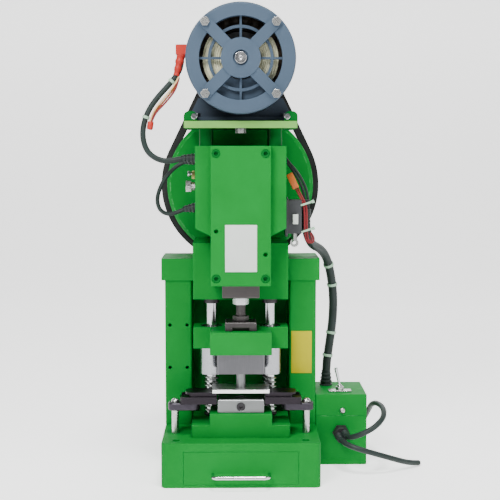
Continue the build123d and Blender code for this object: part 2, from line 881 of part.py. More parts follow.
with BuildPart() as ram_nuts:
    upper_nut_z = plunger_bottom_z - upper_nut_height
    for bottom, height in ((coupling_top_z, lower_nut_height), (upper_nut_z, upper_nut_height)):
        with BuildSketch(level(bottom)):
            with Locations((0, tool_y)):
                RegularPolygon(nut_radius, side_count=6)
                Circle(stud_radius + seat_clearance, mode=Mode.SUBTRACT)
        extrude(amount=height)
finish(ram_nuts.part, "ram_nuts")

with BuildPart() as coupling_block:
    with BuildSketch(level(shoe_top_z)):
        with Locations((0, tool_y)):
            Rectangle(coupling_width, coupling_depth)
    extrude(amount=coupling_height)
    chamfer(coupling_block.edges().group_by(Axis.Z)[-1], length=head_edge_radius)
    with BuildSketch(level(coupling_top_z)):
        with Locations((0, tool_y)):
            Circle(stud_radius + seat_clearance)
    extrude(amount=-coupling_slot_depth, mode=Mode.SUBTRACT)
    with BuildSketch(facing_front(tool_y - coupling_depth / 2)):
        with Locations((0, shoe_top_z + coupling_slot_depth / 2)):
            Rectangle(coupling_slot_width, coupling_slot_depth)
    extrude(amount=-coupling_depth * coupling_slot_share, mode=Mode.SUBTRACT)
finish(coupling_block.part, "coupling_block")

# Crankshaft: disc with an offset pin at the front, journal in the head and a tail for the flywheel
tail_front_y = hub_front_y - crank_end_gap
tail_back_y = hub_back_y + crank_end_gap + shaft_nut_length
crank_turning = turned(
    [
        (crank_disc_front_y, 0),
        (crank_disc_front_y, crank_disc_radius),
        (crank_disc_back_y, crank_disc_radius),
        (crank_disc_back_y, crank_journal_radius),
        (tail_front_y, crank_journal_radius),
        (tail_front_y, crank_tail_radius),
        (tail_back_y, crank_tail_radius),
        (tail_back_y, 0),
    ],
    crank_z,
)
with BuildPart() as crankshaft:
    add(crank_turning)
    with BuildSketch(facing_front(crank_disc_front_y)):
        with Locations((0, roller_z)):
            Circle(crank_pin_radius)
    extrude(amount=crank_pin_length)
    chamfer(crankshaft.edges().group_by(Axis.Y)[-1], length=head_edge_radius)
finish(crankshaft.part, "crankshaft")

with BuildPart() as crank_roller:
    with BuildSketch(facing_front(crank_disc_front_y - crank_end_gap)):
        with Locations((0, roller_z)):
            Circle(roller_radius)
            Circle(crank_pin_radius + running_clearance, mode=Mode.SUBTRACT)
    extrude(amount=roller_length)
finish(crank_roller.part, "crank_roller")

with BuildPart() as crank_bearings:
    for back in (cavity_back_y + bearing_length, column_rear_y):
        with BuildSketch(facing_front(back)):
            with Locations((0, crank_z)):
                Circle(bearing_radius)
                Circle(crank_journal_radius + running_clearance, mode=Mode.SUBTRACT)
        extrude(amount=bearing_length)
finish(crank_bearings.part, "crank_bearings")

with BuildPart() as shaft_nut:
    with BuildSketch(facing_front(tail_back_y)):
        with Locations((0, crank_z)):
            RegularPolygon(shaft_nut_radius, side_count=6)
            Circle(crank_tail_radius + seat_clearance, mode=Mode.SUBTRACT)
    extrude(amount=shaft_nut_length)
finish(shaft_nut.part, "shaft_nut")

# Brake: pad against the journal, spring and screwed adjuster, in line across the head
pad_tip_x = -crank_journal_radius - belt_clearance
pad_back_x = pad_tip_x - brake_pad_length
spring_back_x = pad_back_x - brake_spring_length
with BuildPart() as brake_pad:
    with BuildSketch(facing_right(pad_back_x)):
        with Locations((brake_y, crank_z)):
            Circle(brake_bore_radius - seat_clearance)
    extrude(amount=pad_tip_x - pad_back_x + brake_bore_radius)
    with BuildSketch(facing_front(brake_y + brake_bore_radius)):
        with Locations((0, crank_z)):
            Circle(crank_journal_radius + belt_clearance)
    extrude(amount=2 * brake_bore_radius, mode=Mode.SUBTRACT)
    split(bisect_by=facing_right(-crank_journal_radius / 2), keep=Keep.BOTTOM)
finish(brake_pad.part, "brake_pad")

brake_coil = coil_spring(
    brake_spring_wire_radius,
    brake_spring_radius,
    brake_spring_length,
    brake_spring_turns,
)
with BuildPart(Plane(origin=(spring_back_x, brake_y, crank_z), z_dir=(1, 0, 0))) as brake_spring:
    add(brake_coil)
finish(brake_spring.part, "brake_spring")

with BuildPart() as brake_adjuster:
    with BuildSketch(facing_right(-housing_width / 2)):
        with Locations((brake_y, crank_z)):
            Circle(brake_bore_radius - seat_clearance)
    extrude(amount=spring_back_x + housing_width / 2)
    with BuildSketch(facing_right(-housing_width / 2)):
        with Locations((brake_y, crank_z)):
            Circle(brake_neck_radius)
    extrude(amount=-brake_neck_length)
    with BuildSketch(facing_right(-housing_width / 2 - brake_neck_length)):
        with Locations((brake_y, crank_z)):
            RegularPolygon(brake_head_radius, side_count=6)
    extrude(amount=-brake_head_length)
finish(brake_adjuster.part, "brake_adjuster")


def groove(belt_radius, rim_radius):
    """V-groove across a rim at the belt's station, as (station, radius) points from front to back."""
    slope = math.tan(math.radians(belt_flank_angle))
    root_radius = belt_radius - belt_thickness - groove_root_gap
    rim_half = belt_width / 2 - (belt_radius - rim_radius) * slope + belt_clearance
    root_half = belt_width / 2 - (belt_radius - root_radius) * slope + belt_clearance
    return [
        (belt_y - rim_half, rim_radius),
        (belt_y - root_half, root_radius),
        (belt_y + root_half, root_radius),
        (belt_y + rim_half, rim_radius),
    ]


# Flywheel: flat front, dished back, grooved rim, running on a bush
flywheel_back_y = flywheel_front_y + flywheel_width
web_back_y = flywheel_front_y + flywheel_web
rim_inner_radius = flywheel_radius - flywheel_rim_depth
flywheel_turning = turned(
    [
        (hub_front_y, flywheel_bush_radius + seat_clearance),
        (hub_front_y, flywheel_hub_radius),
        (flywheel_front_y, flywheel_hub_radius),
        (flywheel_front_y, flywheel_radius - flywheel_edge),
        (flywheel_front_y + flywheel_edge, flywheel_radius),
    ]
    + groove(belt_flywheel_radius, flywheel_radius)
    + [
        (flywheel_back_y, flywheel_radius),
        (flywheel_back_y, rim_inner_radius),
        (web_back_y, rim_inner_radius - flywheel_web / 2),
        (web_back_y, flywheel_hub_radius + flywheel_web / 2),
        (flywheel_back_y, flywheel_hub_radius),
        (hub_back_y, flywheel_hub_radius),
        (hub_back_y, flywheel_bush_radius + seat_clearance),
    ],
    crank_z,
)
with BuildPart() as flywheel:
    add(flywheel_turning)
finish(flywheel.part, "flywheel")

with BuildPart() as flywheel_bush:
    with BuildSketch(facing_front(hub_back_y)):
        with Locations((0, crank_z)):
            Circle(flywheel_bush_radius)
            Circle(crank_tail_radius + running_clearance, mode=Mode.SUBTRACT)
    extrude(amount=flywheel_hub_length)
finish(flywheel_bush.part, "flywheel_bush")

# Motor pulley with the same groove
pulley_radius = belt_pulley_radius - pulley_rim_gap
pulley_front_y = belt_y - pulley_width / 2
pulley_back_y = belt_y + pulley_width / 2
pulley_turning = turned(
    [
        (pulley_front_y - pulley_hub_length, motor_shaft_radius + seat_clearance),
        (pulley_front_y - pulley_hub_length, pulley_hub_radius),
        (pulley_front_y, pulley_hub_radius),
        (pulley_front_y, pulley_radius),
    ]
    + groove(belt_pulley_radius, pulley_radius)
    + [
        (pulley_back_y, pulley_radius),
        (pulley_back_y, motor_shaft_radius + seat_clearance),
    ],
    motor_z,
)
with BuildPart() as motor_pulley:
    add(pulley_turning)
finish(motor_pulley.part, "motor_pulley")

# V-belt: a trapezoid swept round both wheels
belt_lean = math.asin((belt_flywheel_radius - belt_pulley_radius) / (motor_z - crank_z))
belt_lean_degrees = math.degrees(belt_lean)
belt_low = (belt_flywheel_radius * math.cos(belt_lean), crank_z + belt_flywheel_radius * math.sin(belt_lean))
belt_high = (belt_pulley_radius * math.cos(belt_lean), motor_z + belt_pulley_radius * math.sin(belt_lean))
belt_inner_half = belt_width / 2 - belt_thickness * math.tan(math.radians(belt_flank_angle))
with BuildPart() as v_belt:
    with BuildLine(facing_front(belt_y)) as belt_path:
        Line(belt_low, belt_high)
        CenterArc((0, motor_z), belt_pulley_radius, belt_lean_degrees, 180 - 2 * belt_lean_degrees)
        Line((-belt_high[0], belt_high[1]), (-belt_low[0], belt_low[1]))
        CenterArc((0, crank_z), belt_flywheel_radius, 180 - belt_lean_degrees, 180 + 2 * belt_lean_degrees)
    section_plane = Plane(
        origin=(belt_low[0], belt_y, belt_low[1]),
        x_dir=(0, 1, 0),
        z_dir=(-math.sin(belt_lean), 0, math.cos(belt_lean)),
    )
    with BuildSketch(section_plane):
        with BuildLine():
            Polyline(
                (-belt_width / 2, 0),
                (belt_width / 2, 0),
                (belt_inner_half, belt_thickness),
                (-belt_inner_half, belt_thickness),
                close=True,
            )
        make_face()
    sweep(path=belt_path.wires()[0])
finish(v_belt.part, "v_belt")

# Motor: shell, stator with its windings, rotor and two end shields
bolt_places = [
    (
        shield_bolt_circle_radius * math.cos(math.radians(angle)),
        motor_z + shield_bolt_circle_radius * math.sin(math.radians(angle)),
    )
    for angle in (45, 135, 225, 315)
]
shield_back_y = shell_back_y + rear_shield_thickness
bolt_grip = shield_bolt_length - shield_thickness
with BuildPart() as motor_shell:
    with BuildSketch(facing_front(shell_back_y)):
        with Locations((0, motor_z)):
            Circle(motor_radius)
            Circle(motor_radius - shell_wall, mode=Mode.SUBTRACT)
    extrude(amount=shell_length)
    for station, depth in ((shell_front_y, -bolt_grip), (shell_back_y, bolt_grip)):
        with BuildSketch(facing_front(station)):
            with Locations(*bolt_places):
                Circle(shield_bolt_radius + seat_clearance)
        extrude(amount=depth, mode=Mode.SUBTRACT)
finish(motor_shell.part, "motor_shell")

winding_front_y = stator_front_y - winding_overhang
winding_back_y = stator_back_y + winding_overhang
stator_radius = motor_radius - shell_wall - seat_clearance
stator_turning = turned(
    [
        (winding_front_y, winding_inner_radius),
        (winding_front_y, winding_outer_radius),
        (stator_front_y, winding_outer_radius),
        (stator_front_y, stator_radius),
        (stator_back_y, stator_radius),
        (stator_back_y, winding_outer_radius),
        (winding_back_y, winding_outer_radius),
        (winding_back_y, winding_inner_radius),
        (stator_back_y, winding_inner_radius),
        (stator_back_y, stator_bore_radius),
        (stator_front_y, stator_bore_radius),
        (stator_front_y, winding_inner_radius),
    ],
    motor_z,
)
with BuildPart() as stator_windings:
    add(stator_turning)
finish(stator_windings.part, "stator_windings")

shaft_front_y = shield_front_y - shield_hub_projection - motor_shaft_front_length
shaft_back_y = pulley_back_y + motor_shaft_front_length
rotor_turning = turned(
    [
        (shaft_front_y + shaft_centre_depth, 0),
        (shaft_front_y, shaft_centre_radius),
        (shaft_front_y, motor_shaft_radius),
        (stator_front_y, motor_shaft_radius),
        (stator_front_y, stator_bore_radius - rotor_gap),
        (stator_back_y, stator_bore_radius - rotor_gap),
        (stator_back_y, motor_shaft_radius),
        (shaft_back_y, motor_shaft_radius),
        (shaft_back_y, 0),
    ],
    motor_z,
)
with BuildPart() as rotor:
    add(rotor_turning)
finish(rotor.part, "rotor")

spoke_reach = (vent_radius + motor_radius) / 2
spoke_length = motor_radius - spoke_end_gap
with BuildPart() as front_end_shield:
    with BuildSketch(facing_front(shell_front_y)):
        with Locations((0, motor_z)):
            Circle(motor_radius)
            Circle(vent_radius, mode=Mode.SUBTRACT)
    extrude(amount=shield_thickness)
    front_rim = front_end_shield.faces().sort_by(Axis.Y)[0].edges()
    fillet(front_rim.sort_by(SortBy.LENGTH)[-1], radius=shield_edge_radius)
    with BuildSketch(facing_front(shell_front_y)):
        with Locations((0, motor_z)):
            Circle(shield_hub_radius)
    extrude(amount=shield_thickness + shield_hub_projection)
    with BuildSketch(facing_front(spoke_front_y + spoke_thickness)):
        with Locations((0, motor_z)):
            with PolarLocations(spoke_length / 2, 4, start_angle=45):
                Rectangle(spoke_length, spoke_width)
    extrude(amount=spoke_thickness)
    with BuildSketch(facing_front(shell_front_y)):
        with Locations((0, motor_z)):
            with PolarLocations(spoke_reach / 2, 4):
                Rectangle(spoke_reach, vent_rib_width)
            Circle(vent_ring_radius + vent_ring_width / 2)
            Circle(vent_ring_radius - vent_ring_width / 2, mode=Mode.SUBTRACT)
            with PolarLocations(vent_ring_radius / 2, 4):
                Rectangle(vent_ring_radius, vent_rib_width)
    extrude(amount=vent_web_thickness)
    with BuildSketch(facing_front(shell_front_y)):
        with Locations((0, motor_z)):
            Circle(motor_shaft_radius + running_clearance)
        with Locations(*bolt_places):
            Circle(shield_bolt_radius + seat_clearance)
    extrude(amount=shield_thickness + shield_hub_projection, mode=Mode.SUBTRACT)
    with BuildSketch(facing_front(shield_front_y - shield_hub_projection + shaft_recess_depth)):
        with Locations((0, motor_z)):
            Circle(motor_shaft_radius + shaft_recess_clearance)
    extrude(amount=shaft_recess_depth, mode=Mode.SUBTRACT)
finish(front_end_shield.part, "front_end_shield")

with BuildPart() as rear_end_shield:
    with BuildSketch(facing_front(shield_back_y)):
        with Locations((0, motor_z)):
            Circle(motor_radius)
            Circle(motor_shaft_radius + running_clearance, mode=Mode.SUBTRACT)
    extrude(amount=rear_shield_thickness)
    rear_rim = rear_end_shield.faces().sort_by(Axis.Y)[-1].edges()
    fillet(rear_rim.sort_by(SortBy.LENGTH)[-1], radius=shield_edge_radius)
    with BuildSketch(facing_front(shield_back_y)):
        with Locations((0, motor_z)):
            Circle(rear_vent_inner_radius + rear_vent_width)
            Circle(rear_vent_inner_radius, mode=Mode.SUBTRACT)
            with PolarLocations(rear_vent_inner_radius, 4, start_angle=45):
                Rectangle(rear_vent_inner_radius, spoke_width, mode=Mode.SUBTRACT)
        with Locations(*bolt_places):
            Circle(shield_bolt_radius + seat_clearance)
    extrude(amount=rear_shield_thickness, mode=Mode.SUBTRACT)
finish(rear_end_shield.part, "rear_end_shield")

# Motor plate on four supports, with the saddle that carries the shell
with BuildPart() as plate_supports:
    with BuildSketch(level(head_top_z)):
        with Locations((0, plate_middle_y)):
            with GridLocations(support_spacing_x, support_spacing_y, 2, 2):
                Circle(support_radius)
    extrude(amount=support_height)
finish(plate_supports.part, "plate_supports")

jack_y = front_y + jack_bolt_setback
with BuildPart() as motor_plate:
    with BuildSketch(level(plate_bottom_z)):
        with Locations((0, plate_middle_y)):
            RectangleRounded(motor_plate_width, motor_plate_depth, column_corner_radius)
        with Locations((0, saddle_middle_y)):
            with GridLocations(saddle_bolt_spacing_x, saddle_bolt_spacing_y, 2, 2):
                Circle(hex_bolt_radius + seat_clearance, mode=Mode.SUBTRACT)
        with Locations((0, jack_y)):
            Circle(hex_bolt_radius + seat_clearance, mode=Mode.SUBTRACT)
    extrude(amount=motor_plate_thickness)
    with BuildSketch(facing_front(plate_front_y + plate_lug_setback + plate_lug_depth)):
        for side in (-1, 1):
            with Locations((side * (motor_plate_width - plate_lug_width) / 2, plate_top_z)):
                RectangleRounded(plate_lug_width, plate_lug_height * 2, plate_lug_radius)
        with Locations((0, plate_top_z - plate_lug_height)):
            Rectangle(motor_plate_width, plate_lug_height * 2, mode=Mode.SUBTRACT)
    extrude(amount=plate_lug_depth)
finish(motor_plate.part, "motor_plate")

saddle_step_z = plate_top_z + saddle_flange_thickness
saddle_block_depth = saddle_depth - saddle_block_inset * 2
with BuildPart() as motor_saddle:
    with BuildSketch(level(plate_top_z)):
        with Locations((0, saddle_middle_y)):
            Rectangle(saddle_flange_width, saddle_depth)
            with GridLocations(saddle_bolt_spacing_x, saddle_bolt_spacing_y, 2, 2):
                Circle(hex_bolt_radius + seat_clearance, mode=Mode.SUBTRACT)
    extrude(amount=saddle_flange_thickness)
    with BuildSketch(facing_front(saddle_middle_y)):
        with BuildLine():
            Polyline(
                (0, plate_top_z),
                (saddle_foot_width / 2, plate_top_z),
                (saddle_foot_width / 2, saddle_step_z),
                (saddle_top_width / 2, plate_top_z + saddle_height),
                (0, plate_top_z + saddle_height),
                close=True,
            )
        make_face()
        mirror(about=Plane.YZ)
    extrude(amount=saddle_block_depth / 2, both=True)
    with BuildSketch(facing_front(saddle_middle_y)):
        with Locations((0, motor_z)):
            Circle(motor_radius + seat_clearance)
    extrude(amount=saddle_depth, both=True, mode=Mode.SUBTRACT)
finish(motor_saddle.part, "motor_saddle")


def hex_bolt(seat, head_radius, head_height, shank_radius, shank_length):
    """Bolt with its head on a seat plane and its shank against the plane's normal."""
    with BuildPart() as bolt:
        with BuildSketch(seat):
            RegularPolygon(head_radius, side_count=6)
        extrude(amount=head_height)
        with BuildSketch(seat):
            Circle(shank_radius)
        extrude(amount=-shank_length)
    return bolt.part


bolts = []
for x, z in bolt_places:
    for station, outward, grip in (
        (spoke_front_y, -1, shield_bolt_length + spoke_proud),
        (shield_back_y, 1, shield_bolt_length - shield_thickness + rear_shield_thickness),
    ):
        shield_seat = Plane(origin=(x, station, z), x_dir=(1, 0, 0), z_dir=(0, outward, 0))
        bolts.append(hex_bolt(shield_seat, shield_head_radius, shield_head_height, shield_bolt_radius, grip))
for x in (-saddle_bolt_spacing_x / 2, saddle_bolt_spacing_x / 2):
    for y in (-saddle_bolt_spacing_y / 2, saddle_bolt_spacing_y / 2):
        saddle_seat = Plane(origin=(x, saddle_middle_y + y, saddle_step_z))
        saddle_grip = saddle_step_z - plate_bottom_z
        bolts.append(hex_bolt(saddle_seat, hex_head_radius, hex_head_height, hex_bolt_radius, saddle_grip))
jack_seat = Plane(origin=(0, jack_y, plate_bottom_z), x_dir=(1, 0, 0), z_dir=(0, 0, -1))
bolts.append(hex_bolt(jack_seat, jack_head_radius, jack_head_height, hex_bolt_radius, motor_plate_thickness))
with BuildPart() as hex_bolts:
    for bolt in bolts:
        add(bolt)
finish(hex_bolts.part, "hex_bolts")

# Solenoid on its mounting flange, with the trip rod that it lifts
solenoid_left_x = housing_width / 2 + bracket_thickness
solenoid_middle_x = solenoid_left_x + solenoid_width / 2
solenoid_right_x = solenoid_left_x + solenoid_width
solenoid_y = front_y + solenoid_setback
solenoid_bottom_z = housing_bottom_z - solenoid_drop
solenoid_middle_z = solenoid_bottom_z + solenoid_height / 2
with BuildPart() as solenoid:
    with BuildSketch(facing_right(housing_width / 2)) as solenoid_flange:
        with Locations((solenoid_y, solenoid_middle_z)):
            Rectangle(solenoid_depth + 2 * bracket_margin, solenoid_height + 2 * bracket_margin)
        fillet(solenoid_flange.vertices(), radius=bracket_margin)
    extrude(amount=bracket_thickness)
    with BuildSketch(level(solenoid_bottom_z)) as solenoid_plan:
        with Locations((solenoid_middle_x, solenoid_y)):
            Rectangle(solenoid_width, solenoid_depth)
        chamfer(solenoid_plan.vertices().group_by(Axis.X)[-1], length=solenoid_edge_radius)
    extrude(amount=solenoid_height)
    with BuildSketch(level(solenoid_bottom_z)):
        with Locations((solenoid_middle_x, solenoid_y)):
            Circle(trip_rod_radius + sliding_clearance)
    extrude(amount=trip_rod_length - trip_rod_projection + trip_stroke + cut_overrun, mode=Mode.SUBTRACT)
finish(solenoid.part, "solenoid")

trip_bottom_z = solenoid_bottom_z - trip_rod_projection
with BuildPart() as trip_rod:
    with BuildSketch(level(trip_bottom_z)):
        with Locations((solenoid_middle_x, solenoid_y)):
            Circle(trip_rod_radius)
    extrude(amount=trip_rod_length)
    with BuildSketch(facing_front(solenoid_y + trip_eye_thickness / 2)):
        with Locations((solenoid_middle_x, trip_bottom_z)):
            Circle(trip_eye_radius)
    extrude(amount=trip_eye_thickness)
    with BuildSketch(facing_front(solenoid_y + trip_rod_radius)):
        with Locations((solenoid_middle_x, trip_bottom_z)):
            Circle(trip_eye_hole_radius)
    extrude(amount=2 * trip_rod_radius, mode=Mode.SUBTRACT)
finish(trip_rod.part, "trip_rod")

# Control box: folded body and lid, cable gland and toggle switch
with BuildPart() as control_box:
    with BuildSketch():
        with Locations((box_middle_x, box_middle_y)):
            RectangleRounded(box_width, box_depth, box_corner_radius)
    extrude(amount=box_height)
    with BuildSketch(level(box_wall)):
        with Locations((box_middle_x, box_middle_y)):
            Rectangle(box_width - 2 * box_wall, box_depth - 2 * box_wall)
    extrude(amount=box_height, mode=Mode.SUBTRACT)
finish(control_box.part, "control_box")

with BuildPart() as box_lid:
    with BuildSketch(level(box_height)):
        with Locations((box_middle_x, box_middle_y)):
            RectangleRounded(box_width, box_depth, box_corner_radius)
    extrude(amount=lid_height)
    fillet(box_lid.edges().group_by(Axis.Z)[-1], radius=head_edge_radius)
    with BuildSketch(level(box_height)):
        with Locations((box_middle_x, box_middle_y)):
            Rectangle(box_width - 2 * box_wall, box_depth - 2 * box_wall)
    extrude(amount=lid_height - box_wall, mode=Mode.SUBTRACT)
finish(box_lid.part, "box_lid")

with BuildPart() as cable_gland:
    with BuildSketch(facing_front(box_front_y)):
        with Locations((box_middle_x, gland_height)):
            RegularPolygon(gland_flange_radius, side_count=6)
    extrude(amount=gland_flange_thickness)
    with BuildSketch(facing_front(box_front_y - gland_flange_thickness)):
        with Locations((box_middle_x, gland_height)):
            Circle(gland_radius)
    extrude(amount=gland_length)
    fillet(cable_gland.faces().sort_by(Axis.Y)[0].edges(), radius=head_edge_radius)
finish(cable_gland.part, "cable_gland")

toggle_y = box_front_y + toggle_setback
toggle_neck_z = box_top_z + toggle_plate_thickness
toggle_pivot_z = toggle_neck_z + toggle_neck_height
with BuildPart() as toggle_base:
    with BuildSketch(level(box_top_z)):
        with Locations((box_middle_x, toggle_y)):
            RectangleRounded(toggle_plate_width, toggle_plate_depth, box_corner_radius)
    extrude(amount=toggle_plate_thickness)
    with BuildSketch(level(toggle_neck_z)):
        with Locations((box_middle_x, toggle_y)):
            Circle(toggle_neck_radius)
            Circle(toggle_ball_radius + sliding_clearance, mode=Mode.SUBTRACT)
    extrude(amount=toggle_neck_height)
finish(toggle_base.part, "toggle_base")

toggle_lean = math.radians(toggle_tilt)
toggle_plane = Plane(
    origin=(box_middle_x, toggle_y, toggle_pivot_z),
    x_dir=(math.cos(toggle_lean), 0, math.sin(toggle_lean)),
    z_dir=(-math.sin(toggle_lean), 0, math.cos(toggle_lean)),
)
with BuildPart(toggle_plane) as toggle_lever:
    Sphere(toggle_ball_radius)
    Cone(toggle_root_radius, toggle_tip_radius, toggle_length, align=(Align.CENTER, Align.CENTER, Align.MIN))
    with Locations((0, 0, toggle_length)):
        Sphere(toggle_tip_radius)
finish(toggle_lever.part, "toggle_lever")

# Connectors: one on the solenoid's side and one on the motor's left
connector_x = solenoid_right_x + connector_width / 2
connector_bottom_z = solenoid_bottom_z + solenoid_height - connector_height
terminal_x = -motor_radius - belt_clearance - terminal_width / 2
terminal_bottom_z = motor_z + terminal_rise
terminal_y = solenoid_y
with BuildPart() as lead_connectors:
    with BuildSketch(level(connector_bottom_z)):
        with Locations((connector_x, solenoid_y)):
            RectangleRounded(connector_width, connector_depth, solenoid_edge_radius)
    extrude(amount=connector_height)
    with BuildSketch(level(terminal_bottom_z)):
        with Locations((terminal_x, terminal_y)):
            RectangleRounded(terminal_width, connector_depth, solenoid_edge_radius)
    extrude(amount=connector_height)
finish(lead_connectors.part, "lead_connectors")


def corner_radii(route):
    """Radius of each bend: as large as the two runs that meet there allow."""
    radii = []
    for before, here, after in zip(route, route[1:], route[2:]):
        run_in = Vector(*here) - Vector(*before)
        run_out = Vector(*after) - Vector(*here)
        half_turn = math.radians(run_in.get_angle(run_out)) / 2
        radii.append(bend_share * min(run_in.length, run_out.length) / math.tan(half_turn))
    return radii


def cord(name, route, diameter):
    """Round tube along straight runs and tangent arcs; prints its radii and length."""
    radii = corner_radii(route)
    with BuildPart() as tube:
        with BuildLine() as path:
            FilletPolyline(*route, radius=radii)
        line = path.wires()[0]
        with BuildSketch(Plane(origin=line @ 0, z_dir=line % 0)):
            Circle(diameter / 2)
        sweep(path=line)
    print(name, "length", round(line.length), "radii", [round(radius) for radius in radii])
    section = math.pi * diameter**2 / 4
    print(name, "volume over section times length", round(tube.part.volume / (section * line.length), 4))
    finish(tube.part, name)


# Cord routes, chosen by hand
loom_route = [
    (93, -35, 379),
    (93, -35, 358),
    (97, -24, 339),
    (105, -2, 325),
    (117, 20, 319),
    (129, 40, 305),
    (137, 54, 278),
    (142, 60, 242),
    (141, 61, 204),
    (136, 60, 168),
    (131, 58, 134),
    (131, 58, 105),
]
motor_lead_route = [
    (-83.3, -35, 597.5),
    (-83.3, -35, 582),
    (-91, -36, 567),
    (-103, -37, 553),
    (-117, -38, 538),
    (-130, -40, 520),
    (-137.5, -41, 499),
    (-138.5, -42, 479),
    (-132.5, -42, 461),
    (-118.5, -42, 450),
    (-101, -41, 447),
    (-81, -40, 452),
    (-63, -40, 452),
]
sensor_lead_route = [
    (-63, -16, 448),
    (-78, -16, 448),
    (-93, -16, 440),
    (-106, -17, 427),
    (-116, -17, 410),
    (-121, -18, 392),
    (-116.5, -18, 376),
    (-103, -17, 370),
    (-88, -16, 375),
    (-75, -16, 381),
    (-63, -16, 381),
]
mains_lead_route = [
    (152.5, -28, 50),
    (152.5, -53, 50),
    (167, -69, 57),
    (189, -70, 68),
    (205, -55, 79),
    (209, -32, 86),
    (207, -8, 88),
    (203, 16, 86),
    (200, 42, 79),
    (199, 66, 67),
    (197, 90, 51),
    (192, 112, 34),
    (182, 131, 19),
    (168, 145, 9),
    (149, 151, 4.6),
    (129, 152, 4.2),
]
pedal_lead_route = [
    (143.5, -28, 46),
    (143.5, -47, 46),
    (154, -64, 42),
    (173, -71, 37),
    (195, -68, 30),
    (215, -58, 22),
    (233, -46, 14),
    (248, -34, 8),
    (262, -22, 4.6),
]
cord("loom", loom_route, loom_diameter)
cord("motor_lead", motor_lead_route, motor_lead_diameter)
cord("sensor_lead", sensor_lead_route, sensor_lead_diameter)
cord("mains_lead", mains_lead_route, mains_diameter)
cord("pedal_lead", pedal_lead_route, pedal_lead_diameter)

# Put-away length of the mains lead: a round coil that its plug lies beside
lead_end = mains_lead_route[-1]
coil_half_width = coil_columns * mains_diameter / 2
coil_height = coil_layers * mains_diameter
coil_outer_radius = coil_radius + coil_half_width
coil_bottom_z = tie_thickness + tie_slack
coil_y = lead_end[1] + coil_outer_radius - mains_diameter / 2
lead_edge_y = coil_y - lead_end[1] - mains_diameter / 2
coil_x = lead_end[0] - math.sqrt(coil_outer_radius**2 - lead_edge_y**2) - sliding_clearance
with BuildPart() as mains_coil:
    with BuildSketch(level(coil_bottom_z)):
        with Locations((coil_x, coil_y)):
            Circle(coil_outer_radius)
            Circle(coil_radius - coil_half_width, mode=Mode.SUBTRACT)
    extrude(amount=coil_height)
    chamfer(mains_coil.edges().filter_by(GeomType.CIRCLE), length=mains_diameter * coil_chamfer_share)
finish(mains_coil.part, "mains_coil")

plug_edge_y = coil_y - lead_end[1] - plug_width / 2
plug_back_x = coil_x - math.sqrt(coil_outer_radius**2 - plug_edge_y**2) - sliding_clearance
with BuildPart() as mains_plug:
    with BuildSketch(facing_right(plug_back_x)):
        with Locations((lead_end[1], plug_height / 2)):
            RectangleRounded(plug_width, plug_height, plug_edge_radius)
    extrude(amount=-plug_length)
    with BuildSketch(facing_right(plug_back_x - plug_length)):
        with Locations((lead_end[1], plug_height / 2)):
            with GridLocations(plug_pin_spacing, plug_pin_spacing, 2, 1):
                Rectangle(plug_pin_thickness, plug_pin_width)
    extrude(amount=-plug_pin_length)
finish(mains_plug.part, "mains_plug")


def tie(middle, along, radius):
    """Flat band round a cord."""
    with BuildPart() as band:
        with BuildSketch(Plane(origin=middle, z_dir=along)):
            Circle(radius + tie_thickness)
            Circle(radius, mode=Mode.SUBTRACT)
        extrude(amount=tie_width / 2, both=True)
    return band.part


ties = []
tied_cords = (
    (loom_route, loom_diameter, loom_tie_runs),
    (motor_lead_route, motor_lead_diameter, lead_tie_runs),
)
for route, diameter, runs in tied_cords:
    for run in runs:
        start = Vector(*route[int(run)])
        stop = Vector(*route[int(run) + 1])
        ties.append(tie((start + stop) / 2, stop - start, diameter / 2 + tie_slack))
with BuildPart() as cable_ties:
    for band in ties:
        add(band)
    coil_tie_width = 2 * (coil_half_width + tie_slack)
    coil_tie_height = coil_height + 2 * tie_slack
    with BuildSketch(facing_right(coil_x)):
        with Locations((coil_y + coil_radius, coil_bottom_z + coil_height / 2)):
            Rectangle(coil_tie_width + 2 * tie_thickness, coil_tie_height + 2 * tie_thickness)
            Rectangle(coil_tie_width, coil_tie_height, mode=Mode.SUBTRACT)
    extrude(amount=tie_width / 2, both=True)
finish(cable_ties.part, "cable_ties")
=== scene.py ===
import logging
import math
from dataclasses import dataclass
from enum import Enum
from typing import Any, Callable, Dict, List, Optional, Sequence, Set, Tuple

import bmesh
import bpy
from mathutils import Matrix, Vector


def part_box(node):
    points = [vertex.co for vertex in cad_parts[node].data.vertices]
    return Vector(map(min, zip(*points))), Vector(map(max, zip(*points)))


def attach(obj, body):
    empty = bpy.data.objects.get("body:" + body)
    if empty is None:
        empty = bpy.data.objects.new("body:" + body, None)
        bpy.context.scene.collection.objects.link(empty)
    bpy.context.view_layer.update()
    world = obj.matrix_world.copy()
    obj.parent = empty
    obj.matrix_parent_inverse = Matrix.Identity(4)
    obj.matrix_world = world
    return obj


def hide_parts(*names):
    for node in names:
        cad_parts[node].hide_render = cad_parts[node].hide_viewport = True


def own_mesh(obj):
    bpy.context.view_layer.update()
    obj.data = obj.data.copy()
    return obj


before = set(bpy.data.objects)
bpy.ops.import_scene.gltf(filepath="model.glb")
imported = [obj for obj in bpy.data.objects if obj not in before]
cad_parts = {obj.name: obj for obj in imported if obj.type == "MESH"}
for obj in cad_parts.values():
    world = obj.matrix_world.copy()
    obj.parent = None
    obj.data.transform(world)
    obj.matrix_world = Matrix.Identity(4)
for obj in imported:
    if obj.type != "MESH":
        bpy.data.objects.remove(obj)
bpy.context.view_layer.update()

Point = Tuple[float, float, float]
Colour = Tuple[float, float, float]
# Radius and height of each corner of a turning
Outline = Sequence[Tuple[float, float]]
# Left, foot, right and top of a bare plate
Plate = Tuple[float, float, float, float]

MM = 0.001
FULL_TURN = 360.0
LOG = logging.getLogger("stamping_press")


